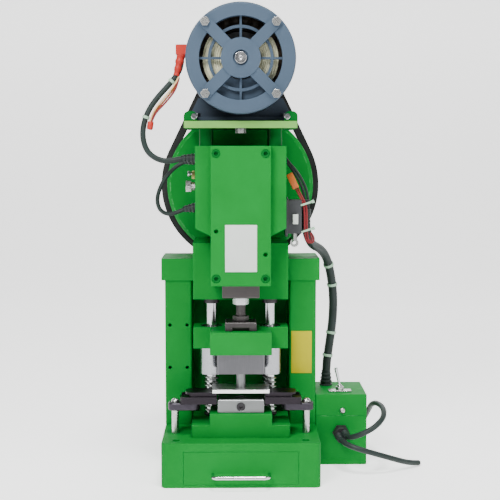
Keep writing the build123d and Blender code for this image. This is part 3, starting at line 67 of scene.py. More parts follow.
class Slot(Enum):
    """Material slots of the record, which each piece lists beside its finish."""

    GREEN_PAINT = "green_paint"
    MOTOR_PAINT = "motor_paint"
    PLATE_EDGE = "plate_edge"
    GROUND_STEEL = "ground_steel"
    BRIGHT_STEEL = "bright_steel"
    ZINC_STEEL = "zinc_steel"
    BLACK_OXIDE = "black_oxide"
    BRONZE = "bronze"
    BRAKE_LINING = "brake_lining"
    WINDINGS = "windings"
    BELT_RUBBER = "belt_rubber"
    COIL_PLASTIC = "coil_plastic"
    RED_PLASTIC = "red_plastic"
    BLACK_SLEEVE = "black_sleeve"
    TIE_PLASTIC = "tie_plastic"
    PLUG_PLASTIC = "plug_plastic"


class Body(Enum):
    """Moving bodies of the press that a piece can ride on."""

    FRAME = "frame"
    DRAWER = "drawer"
    RAM = "ram"
    CRANK = "crank"
    FLYWHEEL = "flywheel"
    ROTOR = "rotor"
    TOGGLE = "toggle"
    TRIP = "trip"


class Grain(Enum):
    """Direction in which a tool or a brush has left its marks on metal."""

    ALL = (1.0, 1.0, 1.0)
    ALONG_X = (0.04, 1.0, 1.0)
    ALONG_Z = (1.0, 1.0, 0.04)
    ROUND_Z = (0.25, 0.25, 3.0)
    ROUND_Y = (0.25, 3.0, 0.25)


class ShaderSketch:
    """Lays out the nodes of one material and links them."""

    def __init__(self, name: str) -> None:
        """Starts an empty material with its output and surface shader.

        Args:
            name: Name of the material.
        """
        self.material = bpy.data.materials.new(name)
        self.material.use_nodes = True
        self.tree = self.material.node_tree
        self.tree.nodes.clear()
        self.output = self.tree.nodes.new("ShaderNodeOutputMaterial")
        self.surface = self.tree.nodes.new("ShaderNodeBsdfPrincipled")
        self.tree.links.new(self.surface.outputs["BSDF"], self.output.inputs["Surface"])
        self.place = self.tree.nodes.new("ShaderNodeTexCoord").outputs["Object"]

    def link(self, source: Any, target: Any) -> None:
        """Joins an output socket to an input socket."""
        self.tree.links.new(source, target)

    def scaled(self, scale: Sequence[float]) -> Any:
        """Gives stretched object coordinates.

        Args:
            scale: Factor along X, Y and Z.

        Returns:
            The socket that carries the coordinates.
        """
        node = self.tree.nodes.new("ShaderNodeMapping")
        node.inputs["Scale"].default_value = tuple(scale)
        self.link(self.place, node.inputs["Vector"])
        return node.outputs["Vector"]

    def noise(self, where: Any, scale: float, detail: float = 4.0, roughness: float = 0.55) -> Any:
        """Adds a noise pattern.

        Args:
            where: Socket with the coordinates.
            scale: Spots per metre.
            detail: Octaves of finer noise.
            roughness: Strength of the finer octaves.

        Returns:
            The socket with the noise, from 0 to 1.
        """
        node = self.tree.nodes.new("ShaderNodeTexNoise")
        node.inputs["Scale"].default_value = scale
        node.inputs["Detail"].default_value = detail
        node.inputs["Roughness"].default_value = roughness
        self.link(where, node.inputs["Vector"])
        return node.outputs["Fac"]

    def spread(self, value: Any, low: float, high: float, start: float = 0.3, end: float = 0.7) -> Any:
        """Maps a value from one range to another.

        Args:
            value: Socket to map.
            low: Result at start.
            high: Result at end.
            start: Value that gives low.
            end: Value that gives high.

        Returns:
            The socket with the mapped value.
        """
        node = self.tree.nodes.new("ShaderNodeMapRange")
        node.inputs["From Min"].default_value = start
        node.inputs["From Max"].default_value = end
        node.inputs["To Min"].default_value = low
        node.inputs["To Max"].default_value = high
        self.link(value, node.inputs["Value"])
        return node.outputs["Result"]

    def product(self, one: Any, other: Any) -> Any:
        """Multiplies two values and returns the socket with the result."""
        node = self.tree.nodes.new("ShaderNodeMath")
        node.operation = "MULTIPLY"
        self.link(one, node.inputs[0])
        self.link(other, node.inputs[1])
        return node.outputs[0]

    def mixed(self, share: Any, first: Any, second: Any) -> Any:
        """Mixes two colours.

        Args:
            share: Socket with the share of the second colour.
            first: Colour or socket at share 0.
            second: Colour or socket at share 1.

        Returns:
            The socket with the mixed colour.
        """
        node = self.tree.nodes.new("ShaderNodeMix")
        node.data_type = "RGBA"
        self.link(share, node.inputs[0])
        for socket, colour in ((node.inputs[6], first), (node.inputs[7], second)):
            if isinstance(colour, tuple):
                socket.default_value = (*colour, 1.0)
            else:
                self.link(colour, socket)
        return node.outputs[2]

    def edge(self) -> Any:
        """Gives the attribute that is 1 on a piece's broken edges."""
        node = self.tree.nodes.new("ShaderNodeAttribute")
        node.attribute_name = "edge"
        return node.outputs["Fac"]

    def bump(self, height: Any, strength: float, distance: float) -> None:
        """Roughens the surface.

        Args:
            height: Socket with the height pattern.
            strength: Share of the relief that shows.
            distance: Depth of the relief in metres.
        """
        node = self.tree.nodes.new("ShaderNodeBump")
        node.inputs["Strength"].default_value = strength
        node.inputs["Distance"].default_value = distance
        self.link(height, node.inputs["Height"])
        self.link(node.outputs["Normal"], self.surface.inputs["Normal"])


class Finish:
    """A surface finish that is made once and shared by all its pieces."""

    made: Dict[str, bpy.types.Material] = {}
    name: str

    def material(self) -> bpy.types.Material:
        """Returns the finish's material, made at the first call."""
        if self.name not in Finish.made:
            sketch = ShaderSketch(self.name)
            self.lay(sketch)
            Finish.made[self.name] = sketch.material
        return Finish.made[self.name]

    def lay(self, sketch: ShaderSketch) -> None:
        """Lays the finish's nodes.

        Args:
            sketch: Material that takes the nodes.
        """
        raise NotImplementedError


@dataclass(frozen=True)
class PaintFinish(Finish):
    """Sprayed enamel on a casting, thin, with edges lighter from wear and from a painted highlight."""

    name: str
    colour: Colour
    shade: Colour
    worn_and_lit: Colour
    roughness: float = 0.34
    peel: float = 0.10
    coat: float = 0.25
    wear_and_highlight: float = 0.55
    gleam: float = 0.06
    cloud_scale: float = 14.0
    peel_scale: float = 620.0
    rub_and_sheen_scale: float = 95.0
    rub_and_sheen_range: Tuple[float, float] = (0.47, 0.62)
    gloss_scale: float = 38.0
    gloss_range: Tuple[float, float] = (-0.06, 0.09)
    coat_roughness: float = 0.3
    peel_depth: float = 0.6 * MM

    def lay(self, sketch: ShaderSketch) -> None:
        """Lays cloudy colour, orange peel, and edges made lighter by wear and by a painted highlight."""
        clouds = sketch.noise(sketch.place, self.cloud_scale, 5.0)
        peel = sketch.noise(sketch.place, self.peel_scale, 2.0)
        rub_and_sheen = sketch.noise(sketch.place, self.rub_and_sheen_scale, 6.0, 0.65)
        body = sketch.mixed(sketch.spread(clouds, 0.0, 1.0), self.colour, self.shade)
        # Broken edges take the lighter colour, partly as paint rubbed by wear and partly as a painted
        # highlight along the edges
        bare = sketch.product(sketch.edge(), sketch.spread(rub_and_sheen, 0.0, self.wear_and_highlight, *self.rub_and_sheen_range))
        sketch.link(sketch.mixed(bare, body, self.worn_and_lit), sketch.surface.inputs["Base Color"])
        low, high = self.gloss_range
        sheen = sketch.noise(sketch.place, self.gloss_scale)
        gloss = sketch.spread(sheen, self.roughness + low, self.roughness + high)
        sketch.link(gloss, sketch.surface.inputs["Roughness"])
        sketch.surface.inputs["Specular IOR Level"].default_value = self.gleam
        sketch.surface.inputs["Coat Weight"].default_value = self.coat
        sketch.surface.inputs["Coat Roughness"].default_value = self.coat_roughness
        sketch.bump(peel, self.peel, self.peel_depth)


@dataclass(frozen=True)
class MetalFinish(Finish):
    """Bare or plated metal with the marks of its last tool."""

    name: str
    colour: Colour
    shade: Colour
    roughness: float = 0.30
    marks: float = 0.10
    grain: Grain = Grain.ALL
    pitch: float = 900.0
    stain: float = 0.35
    cloud_scale: float = 26.0
    stain_range: Tuple[float, float] = (0.4, 0.75)
    lit_gain: float = 1.25
    lit_lift: float = 0.03
    polish_and_highlight_range: Tuple[float, float] = (0.25, 0.9)
    rough_range: Tuple[float, float] = (-0.07, 0.12)
    mark_depth: float = 0.3 * MM

    def lay(self, sketch: ShaderSketch) -> None:
        """Lays tool marks, faint stains, and edges lighter from polish by use and from a painted highlight.
        """
        lines = sketch.noise(sketch.scaled(self.grain.value), self.pitch, 3.0)
        cloud = sketch.noise(sketch.place, self.cloud_scale, 6.0, 0.6)
        stains = sketch.spread(cloud, 0.0, self.stain, *self.stain_range)
        body = sketch.mixed(stains, self.colour, self.shade)
        # Broken edges take a brighter copy of the metal, partly as polish by use and partly as a painted
        # highlight
        lit = tuple(min(1.0, part * self.lit_gain + self.lit_lift) for part in self.colour)
        edge = sketch.product(sketch.edge(), sketch.spread(cloud, *self.polish_and_highlight_range))
        sketch.link(sketch.mixed(edge, body, lit), sketch.surface.inputs["Base Color"])
        sketch.surface.inputs["Metallic"].default_value = 1.0
        low, high = self.rough_range
        rough = sketch.spread(lines, self.roughness + low, self.roughness + high)
        sketch.link(rough, sketch.surface.inputs["Roughness"])
        sketch.bump(lines, self.marks, self.mark_depth)


@dataclass(frozen=True)
class MouldedFinish(Finish):
    """Moulded plastic, rubber or fibre with a fine skin."""

    name: str
    colour: Colour
    shade: Colour
    roughness: float = 0.5
    skin: float = 0.12
    pitch: float = 700.0
    stretch: Point = (1.0, 1.0, 1.0)
    gleam: float = 0.2
    cloud_scale: float = 40.0
    cloud_share: float = 0.6
    skin_share: float = 0.35
    rough_range: Tuple[float, float] = (-0.08, 0.1)
    skin_depth: float = 0.4 * MM

    def lay(self, sketch: ShaderSketch) -> None:
        """Lays an even colour with faint clouds and a fine skin."""
        skin = sketch.noise(sketch.scaled(self.stretch), self.pitch, 3.0)
        cloud = sketch.noise(sketch.place, self.cloud_scale, 4.0)
        body = sketch.mixed(sketch.spread(cloud, 0.0, self.cloud_share), self.colour, self.shade)
        tone = sketch.mixed(sketch.spread(skin, 0.0, self.skin_share), body, self.shade)
        sketch.link(tone, sketch.surface.inputs["Base Color"])
        low, high = self.rough_range
        rough = sketch.spread(skin, self.roughness + low, self.roughness + high)
        sketch.link(rough, sketch.surface.inputs["Roughness"])
        sketch.surface.inputs["Specular IOR Level"].default_value = self.gleam
        sketch.bump(skin, self.skin, self.skin_depth)


@dataclass(frozen=True)
class FloorFinish(Finish):
    """Pale seamless studio paper."""

    name: str = "pale_paper"
    colour: Colour = (0.93, 0.93, 0.925)
    glow: float = 1.1
    tooth_scale: float = 60.0
    tooth_share: float = 0.985
    roughness: float = 0.75

    def lay(self, sketch: ShaderSketch) -> None:
        """Lays an almost even white with a soft tooth."""
        tooth = sketch.noise(sketch.place, self.tooth_scale, 2.0)
        pale = tuple(part * self.tooth_share for part in self.colour)
        sketch.link(sketch.mixed(tooth, self.colour, pale), sketch.surface.inputs["Base Color"])
        sketch.surface.inputs["Roughness"].default_value = self.roughness
        sketch.surface.inputs["Emission Color"].default_value = (1.0, 1.0, 1.0, 1.0)
        sketch.surface.inputs["Emission Strength"].default_value = self.glow


GREEN = PaintFinish(
    "green_enamel", (0.0, 0.185, 0.024), (0.0, 0.158, 0.019), (0.07, 0.36, 0.11), 0.5, 0.08, 0.0,
)
# Darker copy of the green enamel: painted shade on the motor plate, its supports and the upper socket screws
GREEN_SHADED = PaintFinish(
    "green_enamel_painted_shade", (0.0, 0.115, 0.016), (0.0, 0.09, 0.012), (0.05, 0.25, 0.07), 0.5, 0.08, 0.0,
)
MOTOR = PaintFinish(
    "motor_enamel", (0.055, 0.081, 0.117), (0.046, 0.069, 0.100), (0.24, 0.30, 0.37), 0.46, 0.10, 0.0,
    0.8, 0.12,
)
# Darker copy of the motor enamel: painted shade on the saddle under the motor
MOTOR_SHADED = PaintFinish(
    "motor_enamel_painted_shade", (0.045, 0.06, 0.08), (0.035, 0.048, 0.065), (0.15, 0.18, 0.21), 0.5, 0.12, 0.0,
)
# Pale green of the motor plate's front edge: partly the edge's own lighter finish and partly a painted
# highlight
PLATE_EDGE = PaintFinish(
    "pale_plate_edge_and_highlight", (0.17, 0.39, 0.085), (0.13, 0.33, 0.07), (0.45, 0.58, 0.27), 0.45, 0.08, 0.0,
)
GROUND = MetalFinish("ground_steel", (0.19, 0.20, 0.20), (0.12, 0.12, 0.12), 0.36, 0.14, Grain.ALONG_X)
BRUSHED = MetalFinish("brushed_steel", (0.125, 0.125, 0.135), (0.08, 0.08, 0.085), 0.42, 0.2, Grain.ALONG_Z)
DARK_STEEL = MetalFinish(
    "oiled_steel", (0.07, 0.064, 0.064), (0.042, 0.038, 0.037), 0.38, 0.14, Grain.ALONG_X,
)
BUSH = MetalFinish("ground_bush_steel", (0.36, 0.37, 0.39), (0.25, 0.25, 0.27), 0.22, 0.08, Grain.ROUND_Z)
WHITE_STEEL = MetalFinish(
    "bright_strip_steel", (0.93, 0.93, 0.92), (0.86, 0.86, 0.85), 0.3, 0.04, Grain.ALONG_X,
)
CAST_STEEL = MetalFinish(
    "blued_cast_steel", (0.16, 0.17, 0.18), (0.09, 0.09, 0.1), 0.44, 0.2, Grain.ALL, 420.0,
)
BRIGHT = MetalFinish("polished_steel", (0.56, 0.57, 0.58), (0.42, 0.43, 0.44), 0.14, 0.05, Grain.ROUND_Z)
TURNED = MetalFinish("turned_steel", (0.60, 0.61, 0.62), (0.4, 0.4, 0.41), 0.2, 0.12, Grain.ROUND_Y)
ZINC = MetalFinish("zinc_plate", (0.46, 0.47, 0.46), (0.33, 0.33, 0.31), 0.27, 0.06, Grain.ALL)
OLIVE_ZINC = MetalFinish("olive_zinc_plate", (0.20, 0.21, 0.07), (0.13, 0.14, 0.04), 0.33, 0.06, Grain.ALL)
OXIDE = MetalFinish("black_oxide", (0.045, 0.043, 0.046), (0.025, 0.024, 0.027), 0.36, 0.08, Grain.ALL)
ARM_STEEL = MetalFinish(
    "dark_feed_steel", (0.052, 0.046, 0.058), (0.032, 0.028, 0.036), 0.4, 0.12, Grain.ALL, 500.0,
)
FEED_BLACK = MetalFinish(
    "feed_black_oxide", (0.028, 0.024, 0.029), (0.018, 0.015, 0.018), 0.34, 0.08, Grain.ALONG_X,
)
BRONZE = MetalFinish("bearing_bronze", (0.50, 0.33, 0.14), (0.33, 0.2, 0.08), 0.33, 0.1, Grain.ROUND_Y)
LINING = MouldedFinish("brake_lining", (0.09, 0.06, 0.045), (0.05, 0.035, 0.03), 0.85, 0.35, 500.0)
ENAMEL_WIRE = MouldedFinish("cream_winding_wire", (0.88, 0.88, 0.66), (0.66, 0.64, 0.40), 0.42, 0.3, 900.0)
# Near-black colour of the stator windings and their end turns, darker than the cream coil ends at the sides
NEAR_BLACK_WINDING = MouldedFinish("near_black_winding", (0.028, 0.021, 0.015), (0.016, 0.012, 0.009), 0.4, 0.3, 600.0)
STACK = MetalFinish(
    "stator_laminations", (0.16, 0.16, 0.165), (0.1, 0.1, 0.1), 0.5, 0.3, Grain.ROUND_Y, 1600.0,
)
RUBBER = MouldedFinish(
    "belt_rubber", (0.016, 0.016, 0.017), (0.03, 0.03, 0.03), 0.62, 0.3, 1400.0, (1.0, 0.2, 1.0),
)
COIL_BLACK = MouldedFinish("coil_black", (0.013, 0.013, 0.014), (0.03, 0.03, 0.03), 0.38, 0.1)
COIL_GREY = MouldedFinish("coil_grey", (0.05, 0.052, 0.056), (0.035, 0.036, 0.04), 0.42, 0.1)
RED = MouldedFinish("red_connector", (0.42, 0.03, 0.02), (0.33, 0.02, 0.015), 0.35, 0.05)
ORANGE = MouldedFinish("orange_connector", (0.55, 0.14, 0.03), (0.42, 0.1, 0.02), 0.35, 0.05)
WIRE_CREAM = MouldedFinish("cream_wire", (0.72, 0.48, 0.24), (0.62, 0.40, 0.19), 0.4, 0.05)
WIRE_AMBER = MouldedFinish("amber_wire", (0.42, 0.13, 0.03), (0.34, 0.1, 0.02), 0.4, 0.05)
WIRE_RED = MouldedFinish("dark_red_wire", (0.20, 0.018, 0.022), (0.14, 0.012, 0.016), 0.35, 0.05)
SLEEVE = MouldedFinish("black_sleeve", (0.013, 0.02, 0.018), (0.022, 0.033, 0.03), 0.45, 0.25, 1100.0)
TIE = MouldedFinish("pale_green_tie", (0.33, 0.50, 0.36), (0.28, 0.44, 0.31), 0.45, 0.08)
PLUG = MouldedFinish("plug_black", (0.014, 0.014, 0.015), (0.026, 0.026, 0.027), 0.5, 0.15)
PLATE_WHITE = MouldedFinish("bare_plate_white", (0.58, 0.62, 0.58), (0.52, 0.56, 0.52), 0.5, 0.05)
PLATE_YELLOW = MouldedFinish("bare_plate_yellow", (0.40, 0.36, 0.0), (0.34, 0.31, 0.0), 0.5, 0.05)
FLOOR = FloorFinish()


def keep_flat_normals(mesh: bpy.types.Mesh, angle: float) -> None:
    """Shades a mesh smooth, with creases where its faces meet at more than an angle.

    Args:
        mesh: Mesh to shade.
        angle: Crease angle in radians.
    """
    mesh.shade_smooth()
    mesh.set_sharp_from_angle(angle=angle)


def finished_mesh(name: str, work: bmesh.types.BMesh, crease: float) -> bpy.types.Mesh:
    """Turns a mesh under work into a shaded mesh.

    Args:
        name: Name of the mesh.
        work: Mesh under work, which is freed.
        crease: Crease angle in radians.

    Returns:
        The shaded mesh.
    """
    mesh = bpy.data.meshes.new(name)
    work.to_mesh(mesh)
    work.free()
    keep_flat_normals(mesh, crease)
    return mesh


def baked(obj: bpy.types.Object) -> bpy.types.Object:
    """Applies an object's modifiers to its mesh and removes them.

    Args:
        obj: Object whose modifiers are finished.

    Returns:
        The same object with a plain mesh.
    """
    bpy.context.view_layer.update()
    graph = bpy.context.evaluated_depsgraph_get()
    mesh = bpy.data.meshes.new_from_object(obj.evaluated_get(graph))
    obj.modifiers.clear()
    old = obj.data
    obj.data = mesh
    mesh.name = obj.name
    if old.users == 0:
        bpy.data.meshes.remove(old)
    return obj


def placed(name: str, mesh: bpy.types.Mesh, finish: Finish, body: Body) -> bpy.types.Object:
    """Puts a mesh in the scene with its finish, on a body.

    Args:
        name: Name of the piece.
        mesh: Mesh with its place in its points.
        finish: Finish of the piece.
        body: Body that it rides on.

    Returns:
        The new object.
    """
    obj = bpy.data.objects.new(name, mesh)
    bpy.context.scene.collection.objects.link(obj)
    mesh.materials.clear()
    mesh.materials.append(finish.material())
    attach(obj, body.value)
    LOG.info("piece %s on %s in %s", name, body.value, finish.name)
    return obj


# Widths that sharp edges are broken to, from the finest to the heaviest
EDGE_HAIR = 0.2 * MM
EDGE_FINE = 0.3 * MM
EDGE_SLIGHT = 0.4 * MM
EDGE_SMALL = 0.5 * MM
EDGE_MIDDLE = 0.6 * MM
EDGE_FULL = 0.7 * MM
EDGE_WIDE = 0.8 * MM
EDGE_BROAD = 0.9 * MM
EDGE_HEAVY = 1.2 * MM

# Limits of the work on a node's mesh before and after its edges are broken
MERGE_DISTANCE = 0.000004
FLAT_ANGLE = math.radians(0.6)
SHARP_ANGLE = math.radians(42)
EDGE_SHARES = (1.0, 0.6, 0.35, 0.15, 0.0)
LOW_ANGLE = math.radians(9)
FOLD_RATIO = 1.03
FOLD_AREA = 0.000002
NODE_CREASE = math.radians(38)
BLOCK_CREASE = math.radians(40)
TURNING_CREASE = math.radians(32)
ON_AXIS = 1e-7


def skimmed(edge: bmesh.types.BMEdge, sharp: Set[bmesh.types.BMEdge]) -> bool:
    """Tells whether a line within a flat face leaves an edge at a low angle.

    Args:
        edge: Sharp edge to look at.
        sharp: All the sharp edges of the mesh.

    Returns:
        True if breaking the edge would drag that line far along the face.
    """
    for end in edge.verts:
        away = edge.other_vert(end).co - end.co
        for line in end.link_edges:
            if line not in sharp and away.angle(line.other_vert(end).co - end.co, math.pi) < LOW_ANGLE:
                return True
    return False


def folded(mesh: bpy.types.Mesh) -> bool:
    """Tells whether a face of a mesh overlaps itself.

    Args:
        mesh: Mesh to look at.

    Returns:
        True if the triangles of a face cover more than the face.
    """
    mesh.calc_loop_triangles()
    covered = [0.0] * len(mesh.polygons)
    for triangle in mesh.loop_triangles:
        covered[triangle.polygon_index] += triangle.area
    return any(
        area > face.area * FOLD_RATIO and area - face.area > FOLD_AREA
        for area, face in zip(covered, mesh.polygons)
    )


@dataclass
class DressedNode:
    """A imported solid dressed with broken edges, smooth curves and a finish."""

    node: str
    finish: Finish
    slot: Slot
    bevel: float = EDGE_MIDDLE
    body: Body = Body.FRAME
    crease: float = NODE_CREASE
    segments: int = 2
    other: Optional[Finish] = None
    chosen: Optional[Callable[[Vector, Vector], bool]] = None

    def broken_edges(self, width: float, careful: bool = False) -> bpy.types.Mesh:
        """Copies the solid's mesh, merges it and breaks its edges.

        Args:
            width: Width of the broken edges.
            careful: Leaves the edges sharp that a line within a face skims.

        Returns:
            The mesh, with the attribute edge set to 1 on its broken edges.
        """
        work = bmesh.new()
        work.from_mesh(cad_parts[self.node].data)
        bmesh.ops.remove_doubles(work, verts=work.verts, dist=MERGE_DISTANCE)
        bmesh.ops.dissolve_limit(work, angle_limit=FLAT_ANGLE, verts=work.verts, edges=work.edges)
        edge = work.faces.layers.float.new("edge")
        sharp = {e for e in work.edges if e.is_manifold and e.calc_face_angle(0.0) > SHARP_ANGLE}
        broken = [e for e in work.edges if e in sharp and not (careful and skimmed(e, sharp))]
        if width > 0.0 and broken:
            made = bmesh.ops.bevel(
                work, geom=broken, offset=width, offset_type="OFFSET", segments=self.segments,
                profile=0.5, affect="EDGES", clamp_overlap=True, miter_outer="ARC",
            )
            for face in made["faces"]:
                face[edge] = 1.0
        mesh = bpy.data.meshes.new(self.node + "_dressed")
        work.to_mesh(mesh)
        work.free()
        return mesh

    def dressed_mesh(self) -> bpy.types.Mesh:
        """Breaks the edges, narrower where a thin wall would fold a face over.

        Returns:
            The mesh, with its curves smooth and its corners sharp.
        """
        mesh = self.broken_edges(self.bevel)
        for share in EDGE_SHARES:
            if not folded(mesh):
                break
            LOG.info("node %s gets edges of %.2f of their width", self.node, share)
            bpy.data.meshes.remove(mesh)
            mesh = self.broken_edges(self.bevel * share, careful=True)
        keep_flat_normals(mesh, self.crease)
        return mesh

    def build(self) -> bpy.types.Object:
        """Builds the dressed piece, which stands for its node.

        Returns:
            The finished object.
        """
        obj = placed(self.node + "_dressed", self.dressed_mesh(), self.finish, self.body)
        weighted = obj.modifiers.new("flat_faces", "WEIGHTED_NORMAL")
        weighted.keep_sharp = True
        baked(obj)
        if self.other is not None and self.chosen is not None:
            obj.data.materials.append(self.other.material())
            for face in obj.data.polygons:
                face.material_index = 1 if self.chosen(face.center, face.normal) else 0
        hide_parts(self.node)
        return obj


class NodeTree:
    """A Geometry Nodes tree with named inputs, which is baked to a plain mesh."""

    def __init__(self, name: str) -> None:
        """Starts an empty tree.

        Args:
            name: Name of the tree.
        """
        self.group = bpy.data.node_groups.new(name, "GeometryNodeTree")
        self.group.interface.new_socket("Geometry", in_out="OUTPUT", socket_type="NodeSocketGeometry")
        self.entry = self.group.nodes.new("NodeGroupInput")
        self.exit = self.group.nodes.new("NodeGroupOutput")
        self.values: Dict[str, Any] = {}

    def size(self, name: str, value: Any, kind: str = "NodeSocketFloat") -> str:
        """Adds a named input.

        Args:
            name: Name of the size.
            value: Value that the modifier gives it.
            kind: Type of the socket.

        Returns:
            The name, to read the input by.
        """
        socket = self.group.interface.new_socket(name, in_out="INPUT", socket_type=kind)
        self.values[socket.identifier] = value
        return name

    def node(self, kind: str, **inputs: Any) -> bpy.types.Node:
        """Adds a node and fills or links its inputs.

        Args:
            kind: Type of the node.
            **inputs: Value, socket or name of a tree input for each input, with spaces as underscores.

        Returns:
            The new node.
        """
        made = self.group.nodes.new(kind)
        for key, value in inputs.items():
            target = made.inputs[key.replace("_", " ")]
            self.feed(target, value)
        return made

    def feed(self, target: Any, value: Any) -> None:
        """Gives an input socket a value, a link or one of the tree's sizes."""
        if isinstance(value, str):
            self.group.links.new(self.entry.outputs[value], target)
        elif isinstance(value, bpy.types.NodeSocket):
            self.group.links.new(value, target)
        else:
            target.default_value = value

    def maths(self, operation: str, first: Any, second: Any) -> Any:
        """Adds a sum or product and returns its socket."""
        made = self.group.nodes.new("ShaderNodeMath")
        made.operation = operation
        self.feed(made.inputs[0], first)
        self.feed(made.inputs[1], second)
        return made.outputs[0]

    def bake(self, shape: Any, finish: Finish, name: str) -> bpy.types.Mesh:
        """Ends the tree in real, coloured geometry and bakes it.

        Args:
            shape: Socket with the geometry.
            finish: Finish that is set on it.
            name: Name of the mesh.

        Returns:
            The plain mesh.
        """
        real = self.node("GeometryNodeRealizeInstances", Geometry=shape)
        coloured = self.node("GeometryNodeSetMaterial", Geometry=real.outputs[0])
        coloured.inputs["Material"].default_value = finish.material()
        self.group.links.new(coloured.outputs[0], self.exit.inputs[0])
        holder = bpy.data.objects.new(name, bpy.data.meshes.new(name))
        bpy.context.scene.collection.objects.link(holder)
        modifier = holder.modifiers.new("nodes", "NODES")
        modifier.node_group = self.group
        for identifier, value in self.values.items():
            modifier[identifier] = value
        baked(holder)
        mesh = holder.data
        bpy.data.objects.remove(holder)
        return mesh


@dataclass
class CoiledWire:
    """A round wire wound on a cylinder, as a spring or a thread."""

    name: str
    finish: Finish
    radius: float
    wire: float
    length: float
    turns: float
    steps: int = 28
    sides: int = 12

    def mesh(self, place: Matrix) -> bpy.types.Mesh:
        """Winds the wire in Geometry Nodes.

        Args:
            place: Matrix from the spring's own frame, which starts at its foot and rises along Z.

        Returns:
            The wire's mesh in its place.
        """
        tree = NodeTree(self.name + "_nodes")
        radius = tree.size("Mean radius", self.radius)
        rise = tree.size("Length", self.length)
        turns = tree.size("Turns", self.turns)
        wire = tree.size("Wire radius", self.wire / 2)
        spiral = tree.node(
            "GeometryNodeCurveSpiral", Resolution=self.steps, Rotations=turns,
            Start_Radius=radius, End_Radius=radius, Height=rise,
        )
        section = tree.node("GeometryNodeCurvePrimitiveCircle", Resolution=self.sides, Radius=wire)
        tube = tree.node("GeometryNodeCurveToMesh", Curve=spiral.outputs[0], Profile_Curve=section.outputs[0])
        tube.inputs["Fill Caps"].default_value = True
        smooth = tree.node("GeometryNodeSetShadeSmooth", Geometry=tube.outputs[0])
        mesh = tree.bake(smooth.outputs[0], self.finish, self.name)
        mesh.transform(place)
        return mesh


@dataclass
class RingOf:
    """Equal pieces set round an axis."""

    name: str
    finish: Finish
    radius: float
    count: int
    start: float = 0.0

    def mesh(self, pattern: bpy.types.Mesh, place: Matrix) -> bpy.types.Mesh:
        """Sets copies of a pattern round a circle in Geometry Nodes.

        Args:
            pattern: Mesh of one piece, with X pointing out from the axis.
            place: Matrix from the ring's own frame, whose axis is Z.

        Returns:
            The mesh of all the pieces in their place.
        """
        tree = NodeTree(self.name + "_nodes")
        radius = tree.size("Pitch radius", self.radius)
        count = tree.size("Count", self.count, "NodeSocketInt")
        start = tree.size("Start angle", self.start)
        source = bpy.data.objects.new(self.name + "_pattern", pattern)
        read = tree.node("GeometryNodeObjectInfo")
        read.inputs["Object"].default_value = source
        points = tree.node("GeometryNodePoints", Count=count)
        index = tree.node("GeometryNodeInputIndex")
        share = tree.maths("DIVIDE", index.outputs[0], count)
        angle = tree.maths("ADD", tree.maths("MULTIPLY", share, math.tau), start)
        across = tree.maths("MULTIPLY", tree.maths("COSINE", angle, 0.0), radius)
        along = tree.maths("MULTIPLY", tree.maths("SINE", angle, 0.0), radius)
        spot = tree.node("ShaderNodeCombineXYZ", X=across, Y=along)
        moved = tree.node("GeometryNodeSetPosition", Geometry=points.outputs[0], Position=spot.outputs[0])
        turn = tree.node("ShaderNodeCombineXYZ", Z=angle)
        copies = tree.node(
            "GeometryNodeInstanceOnPoints", Points=moved.outputs[0],
            Instance=read.outputs["Geometry"], Rotation=turn.outputs[0],
        )
        mesh = tree.bake(copies.outputs[0], self.finish, self.name)
        bpy.data.objects.remove(source)
        mesh.transform(place)
        return mesh


@dataclass
class RowOf:
    """Equal pieces set at listed points."""

    name: str
    finish: Finish
    points: Sequence[Point]

    def mesh(self, pattern: bpy.types.Mesh) -> bpy.types.Mesh:
        """Sets a copy of a pattern on each point in Geometry Nodes.

        Args:
            pattern: Mesh of one piece round its own origin.

        Returns:
            The mesh of all the pieces in their place.
        """
        tree = NodeTree(self.name + "_nodes")
        size = tree.size("Size", 1.0)
        source = bpy.data.objects.new(self.name + "_pattern", pattern)
        dots = bpy.data.meshes.new(self.name + "_dots")
        dots.from_pydata([tuple(p) for p in self.points], [], [])
        spots = bpy.data.objects.new(self.name + "_spots", dots)
        read = tree.node("GeometryNodeObjectInfo")
        read.inputs["Object"].default_value = source
        where = tree.node("GeometryNodeObjectInfo")
        where.inputs["Object"].default_value = spots
        points = tree.node("GeometryNodeMeshToPoints", Mesh=where.outputs["Geometry"])
        copies = tree.node(
            "GeometryNodeInstanceOnPoints", Points=points.outputs[0],
            Instance=read.outputs["Geometry"], Scale=size,
        )
        mesh = tree.bake(copies.outputs[0], self.finish, self.name)
        bpy.data.objects.remove(source)
        bpy.data.objects.remove(spots)
        return mesh


class FarEnd(Enum):
    """What is on a cord's far end."""

    OBJECT = "object"
    PLUG = "plug"
    BARE = "bare"


class Lay(Enum):
    """How a cord lies."""

    HANGING = "hanging"
    COILED = "coiled"
    LOOSE = "loose"


